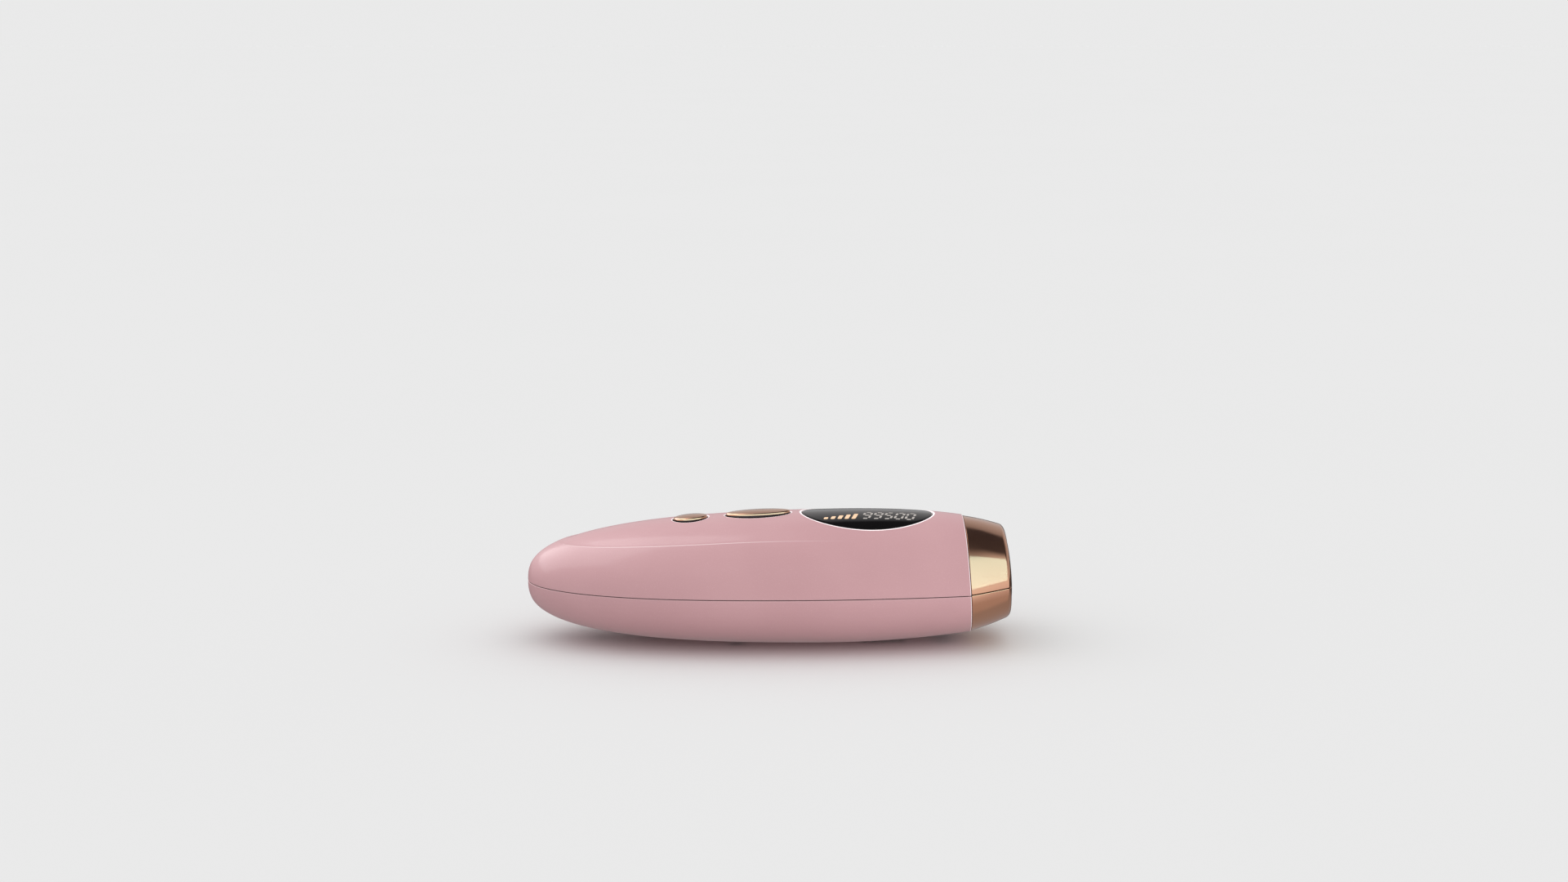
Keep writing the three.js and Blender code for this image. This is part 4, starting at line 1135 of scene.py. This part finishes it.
# The strokes of a digit, as (column, row, lies flat) on a lattice of corners, lettered as usual from the
# top clockwise with g in the middle, and the digits used.
STROKES = {
    "a": (0, 2, True),
    "b": (1, 1, False),
    "c": (1, 0, False),
    "d": (0, 0, True),
    "e": (0, 0, False),
    "f": (0, 1, False),
    "g": (0, 1, True),
}
DIGITS = {"9": "agdfbc", "5": "agdfc", "0": "adfbec"}
COUNTER = "99500"
MARK_LEAN = 0.25


def mark_display():
    """Five rising gold level bars and a grey flash counter, a hair proud of the window."""
    base, bar_width, bar_pitch = -10.2 * MM, 1.5 * MM, 2.5 * MM
    bars = Solid()
    for k in range(5):
        x = LENS_X - 16 * MM + k * bar_pitch
        add_mark(bars, (x, base), (x + bar_width, (-8.5 + 0.8 * k) * MM), MARK_LEAN, base)
    dress(bars.build("level_bars"), "handset", "rose_gold", look=GOLD_PRINT)

    base, stroke, width, height, pitch = -9.8 * MM, 0.8 * MM, 2.5 * MM, 3.0 * MM, 3.9 * MM
    gap, half = stroke * 0.6, stroke / 2
    counter = Solid()
    for k, digit in enumerate(COUNTER):
        for column, row, lies_flat in (STROKES[letter] for letter in DIGITS[digit]):
            x = LENS_X - 2.2 * MM + k * pitch + column * width
            y = base + row * height
            low = (x + gap, y - half) if lies_flat else (x - half, y + gap)
            high = (x + width - gap, y + half) if lies_flat else (x + half, y + height - gap)
            add_mark(counter, low, high, MARK_LEAN, base)
    dress(counter.build("flash_counter"), "handset", "black_gloss", look=GREY_PRINT)


SENSOR_Y = 16.35 * MM


def build_head():
    for name, side in (("upper", 1), ("lower", -1)):
        cover = head_cover(f"head_shell_{name}", side)
        dress(cover, "lamp_head", "rose_gold", f"head_{name}_cover")
    face = (0, FACE_CENTRE_Z)
    window = rounded_box(face, 28 * MM, 11 * MM, 1.5 * MM, 8, 12)
    places = [(side * SENSOR_Y, FACE_CENTRE_Z) for side in (-1, 1)]
    holes = [window] + [rounded_box(place, 1.8 * MM, 7 * MM, 0.4 * MM, 5, 8) for place in places]
    depth, lip, flange = 4.9 * MM, 2.6 * MM, 1.5 * MM
    steps = [(0, lip), (flange, lip), (flange, depth)]
    outer = oval(face, 18.85 * MM, 11.25 * MM, 160)
    ring = plate("window_surround", FRAME_FACE_X, depth, outer, steps, holes, 0.35 * MM)
    dress(ring, "lamp_head", "black_gloss", "window_frame")


# The bulkhead's holes at both sides, as (y, z, radius) in the head's frame, mm: screws, then sockets.
BULKHEAD_HOLES = [(17, 10, 1.4), (17, -7.6, 1.4), (19, 3, 1.6)]


def build_bulkhead():
    holes = []
    for y, z, radius in BULKHEAD_HOLES:
        holes += [oval((side * y * MM, z * MM), radius * MM, radius * MM, 32) for side in (1, -1)]
    air_duct = rounded_box((0, 1.5 * MM), 22 * MM, 16 * MM, 3 * MM, 10, 10)
    rim = oval((0, 0), 27.8 * MM, 19.9 * MM, 160, 16 * MM)
    wall = plate("mouth_bulkhead", -3.5 * MM, 2.5 * MM, rim, [], [*holes, air_duct], 0.3 * MM)
    dress(wall, "handset", "black_plastic", "front_bulkhead")


def finish_cad_nodes():
    """Each CAD node that still shows gets its slot's material, softened edges and smooth curves."""
    for part in frame["record"]["subparts"]:
        node = frame["nodes"][part["node"]]
        if node.hide_render:
            continue
        mesh = node.data
        if "custom_normal" in mesh.attributes:
            mesh.attributes.remove(mesh.attributes["custom_normal"])
        mesh.shade_smooth()
        mesh.materials.clear()
        mesh.materials.append(LOOKS[part["material_slot"]])
        node.modifiers.new("join", "WELD").merge_threshold = 0.01 * MM
        bevel = node.modifiers.new("soft_edges", "BEVEL")
        bevel.width = 0.12 * MM
        bevel.segments = 2
        bevel.limit_method = "ANGLE"
        bevel.angle_limit = math.radians(35)
        bevel.harden_normals = True


# ---- floor, light and camera


FLOOR_SHADE = 0.82
FLOOR_REACH = 12.0


def floor():
    shades = [(FLOOR_SHADE + step,) * 3 for step in (-0.005, 0.005)]
    look = plain("floor", *shades, (0.3, 3), (0.05,), (0.7, 0.8), Specular_IOR_Level=0.0)
    mesh = bpy.data.meshes.new("floor")
    corners = [(x * FLOOR_REACH, y * FLOOR_REACH, 0) for x, y in ((-1, -1), (1, -1), (1, 1), (-1, 1))]
    mesh.from_pydata(corners, [], [(0, 1, 2, 3)])
    mesh.materials.append(look)
    made = shown("floor", mesh)
    made.location.z = -0.05 * MM
    made.visible_glossy = False
    return made


SKY = (0.5, 1.25)  # diffuse light from the horizon and from straight above
# What shiny surfaces see against the elevation in degrees, in front and behind: the pale surroundings, with
# a dark flag overhead. A row is (elevation, red, green, blue).
IN_FRONT = [
    (-90, 0.46, 0.41, 0.4),
    (-60, 0.5, 0.44, 0.42),
    (-40, 0.55, 0.48, 0.46),
    (-25, 0.75, 0.7, 0.72),
    (-15, 1.0, 0.98, 1.0),
    (-2, 1.1, 1.1, 1.1),
    (10, 0.8, 0.8, 0.8),
    (60, 0.6, 0.6, 0.6),
    (75, 0.12, 0.11, 0.12),
    (90, 0.06, 0.055, 0.06),
]
BEHIND = [
    (-90, 0.42, 0.39, 0.38),
    (-24, 0.36, 0.33, 0.33),
    (-14, 0.09, 0.08, 0.08),
    (-3, 0.09, 0.08, 0.08),
    (3, 0.58, 0.58, 0.59),
    (12, 0.6, 0.58, 0.58),
    (28, 0.48, 0.46, 0.46),
    (38, 0.36, 0.35, 0.36),
    (43, 0.05, 0.045, 0.05),
    (90, 0.06, 0.055, 0.06),
]
# A bright card in front, above the camera, that only the gold pieces see.
GOLD_CARD = {"direction": (0.13, -0.77, 0.62), "size": (2.5, 1.38), "radiance": 1.34, "tint": (0.45, 0.95, 1)}


def studio_world():
    """Soft light, stronger from above; the surroundings and the flag show only in reflections."""
    world = bpy.data.worlds.new("studio")
    world.use_nodes = True
    nodes = Nodes(world.node_tree)
    place = nodes.node("ShaderNodeTexCoord").outputs["Generated"]
    axes = nodes.node("ShaderNodeSeparateXYZ", [(0, place)]).outputs
    elevation = nodes.node("ShaderNodeMath", [(0, axes["Z"])], operation="ARCSINE").outputs[0]
    share = nodes.spread(elevation, 0, 1, -math.pi / 2, math.pi / 2)
    seen_by_gloss = []
    for look in (IN_FRONT, BEHIND):
        made = nodes.node("ShaderNodeValToRGB", [(0, share)])
        stops = made.color_ramp.elements
        for degrees, *_ in look[1:-1]:
            stops.new(degrees / 180 + 0.5)
        for stop, (_, *colour) in zip(stops, look):
            stop.color = (*colour, 1)
        seen_by_gloss.append(made.outputs[0])
    to_the_back = nodes.spread(axes["Y"], 0, 1, -0.12, 0.12, interpolation_type="SMOOTHSTEP")
    shiny = nodes.blend(to_the_back, *seen_by_gloss)
    rays = nodes.node("ShaderNodeLightPath").outputs
    seen = nodes.blend(rays["Is Camera Ray"], nodes.spread(axes["Z"], *SKY), (FLOOR_SHADE,) * 3)
    colour = nodes.blend(rays["Is Glossy Ray"], seen, shiny)
    world.node_tree.links.new(colour, world.node_tree.nodes["Background"].inputs["Color"])
    bpy.context.scene.world = world


def linked(name, state, *objects):
    """A collection that includes or excludes objects as takers, or blockers, of one light."""
    made = bpy.data.collections.new(name)
    for k, taker in enumerate(objects):
        made.objects.link(taker)
        made.collection_objects[k].light_linking.link_state = state
    return made


def softbox(name, direction, size, radiance, takers, blockers, reflected=False, tint=(1, 1, 1)):
    """A rectangular card a metre away, aimed at the object."""
    light = bpy.data.lights.new(name, "AREA")
    light.shape = "RECTANGLE"
    light.size, light.size_y = size
    light.energy = radiance * math.pi * size[0] * size[1]
    light.color = tint
    made = shown(name, light)
    away = Vector(direction).normalized()
    made.location = Vector((0, 0, 0.02)) + away
    made.rotation_mode = "QUATERNION"
    made.rotation_quaternion = away.to_track_quat("Z", "Y")
    made.visible_camera = False
    made.visible_glossy = reflected
    made.light_linking.receiver_collection = takers
    made.light_linking.blocker_collection = blockers


def studio(ground):
    studio_world()
    bpy.context.scene.view_settings.view_transform = "Standard"
    pieces = bpy.data.objects
    gold = [pieces[name] for name in ("head_shell_upper", "head_shell_lower", "flash_cap", "power_cap")]
    not_floor = linked("not_floor", "EXCLUDE", ground)
    body = linked("body", "EXCLUDE", ground, pieces["display_glass"])
    softbox("key_light", (-0.6, 0.42, 0.68), (0.91, 0.91), 3.35, body, not_floor, reflected=True)
    softbox("fill_light", (0.85, -0.5, 0.1), (0.8, 0.8), 2.0, body, not_floor)
    softbox("low_light", (0.05, -0.93, -0.25), (0.6, 0.6), 2.1, body, not_floor)
    takers = linked("gold", "INCLUDE", *gold)
    softbox("gold_card", **GOLD_CARD, takers=takers, blockers=not_floor, reflected=True)


CAMERA_FROM_MIDDLE = Vector((0.0055, -0.9793, 0.20775))
MIDDLE_Z = 0.023  # height of the point that the camera is placed from
CAMERA_PITCH = math.radians(9.18)
LENS = 63.2


def camera():
    made = shown("camera", bpy.data.cameras.new("camera"))
    made.data.lens = LENS
    made.data.sensor_width = 36
    made.location = Vector(((cad_low.x + cad_high.x) / 2, 0, MIDDLE_Z)) + CAMERA_FROM_MIDDLE
    made.rotation_euler = (math.pi / 2 - CAMERA_PITCH, 0, 0)
    bpy.context.scene.camera = made


build_shells()
build_top_controls()
build_head()
build_bulkhead()
finish_cad_nodes()
studio(floor())
camera()
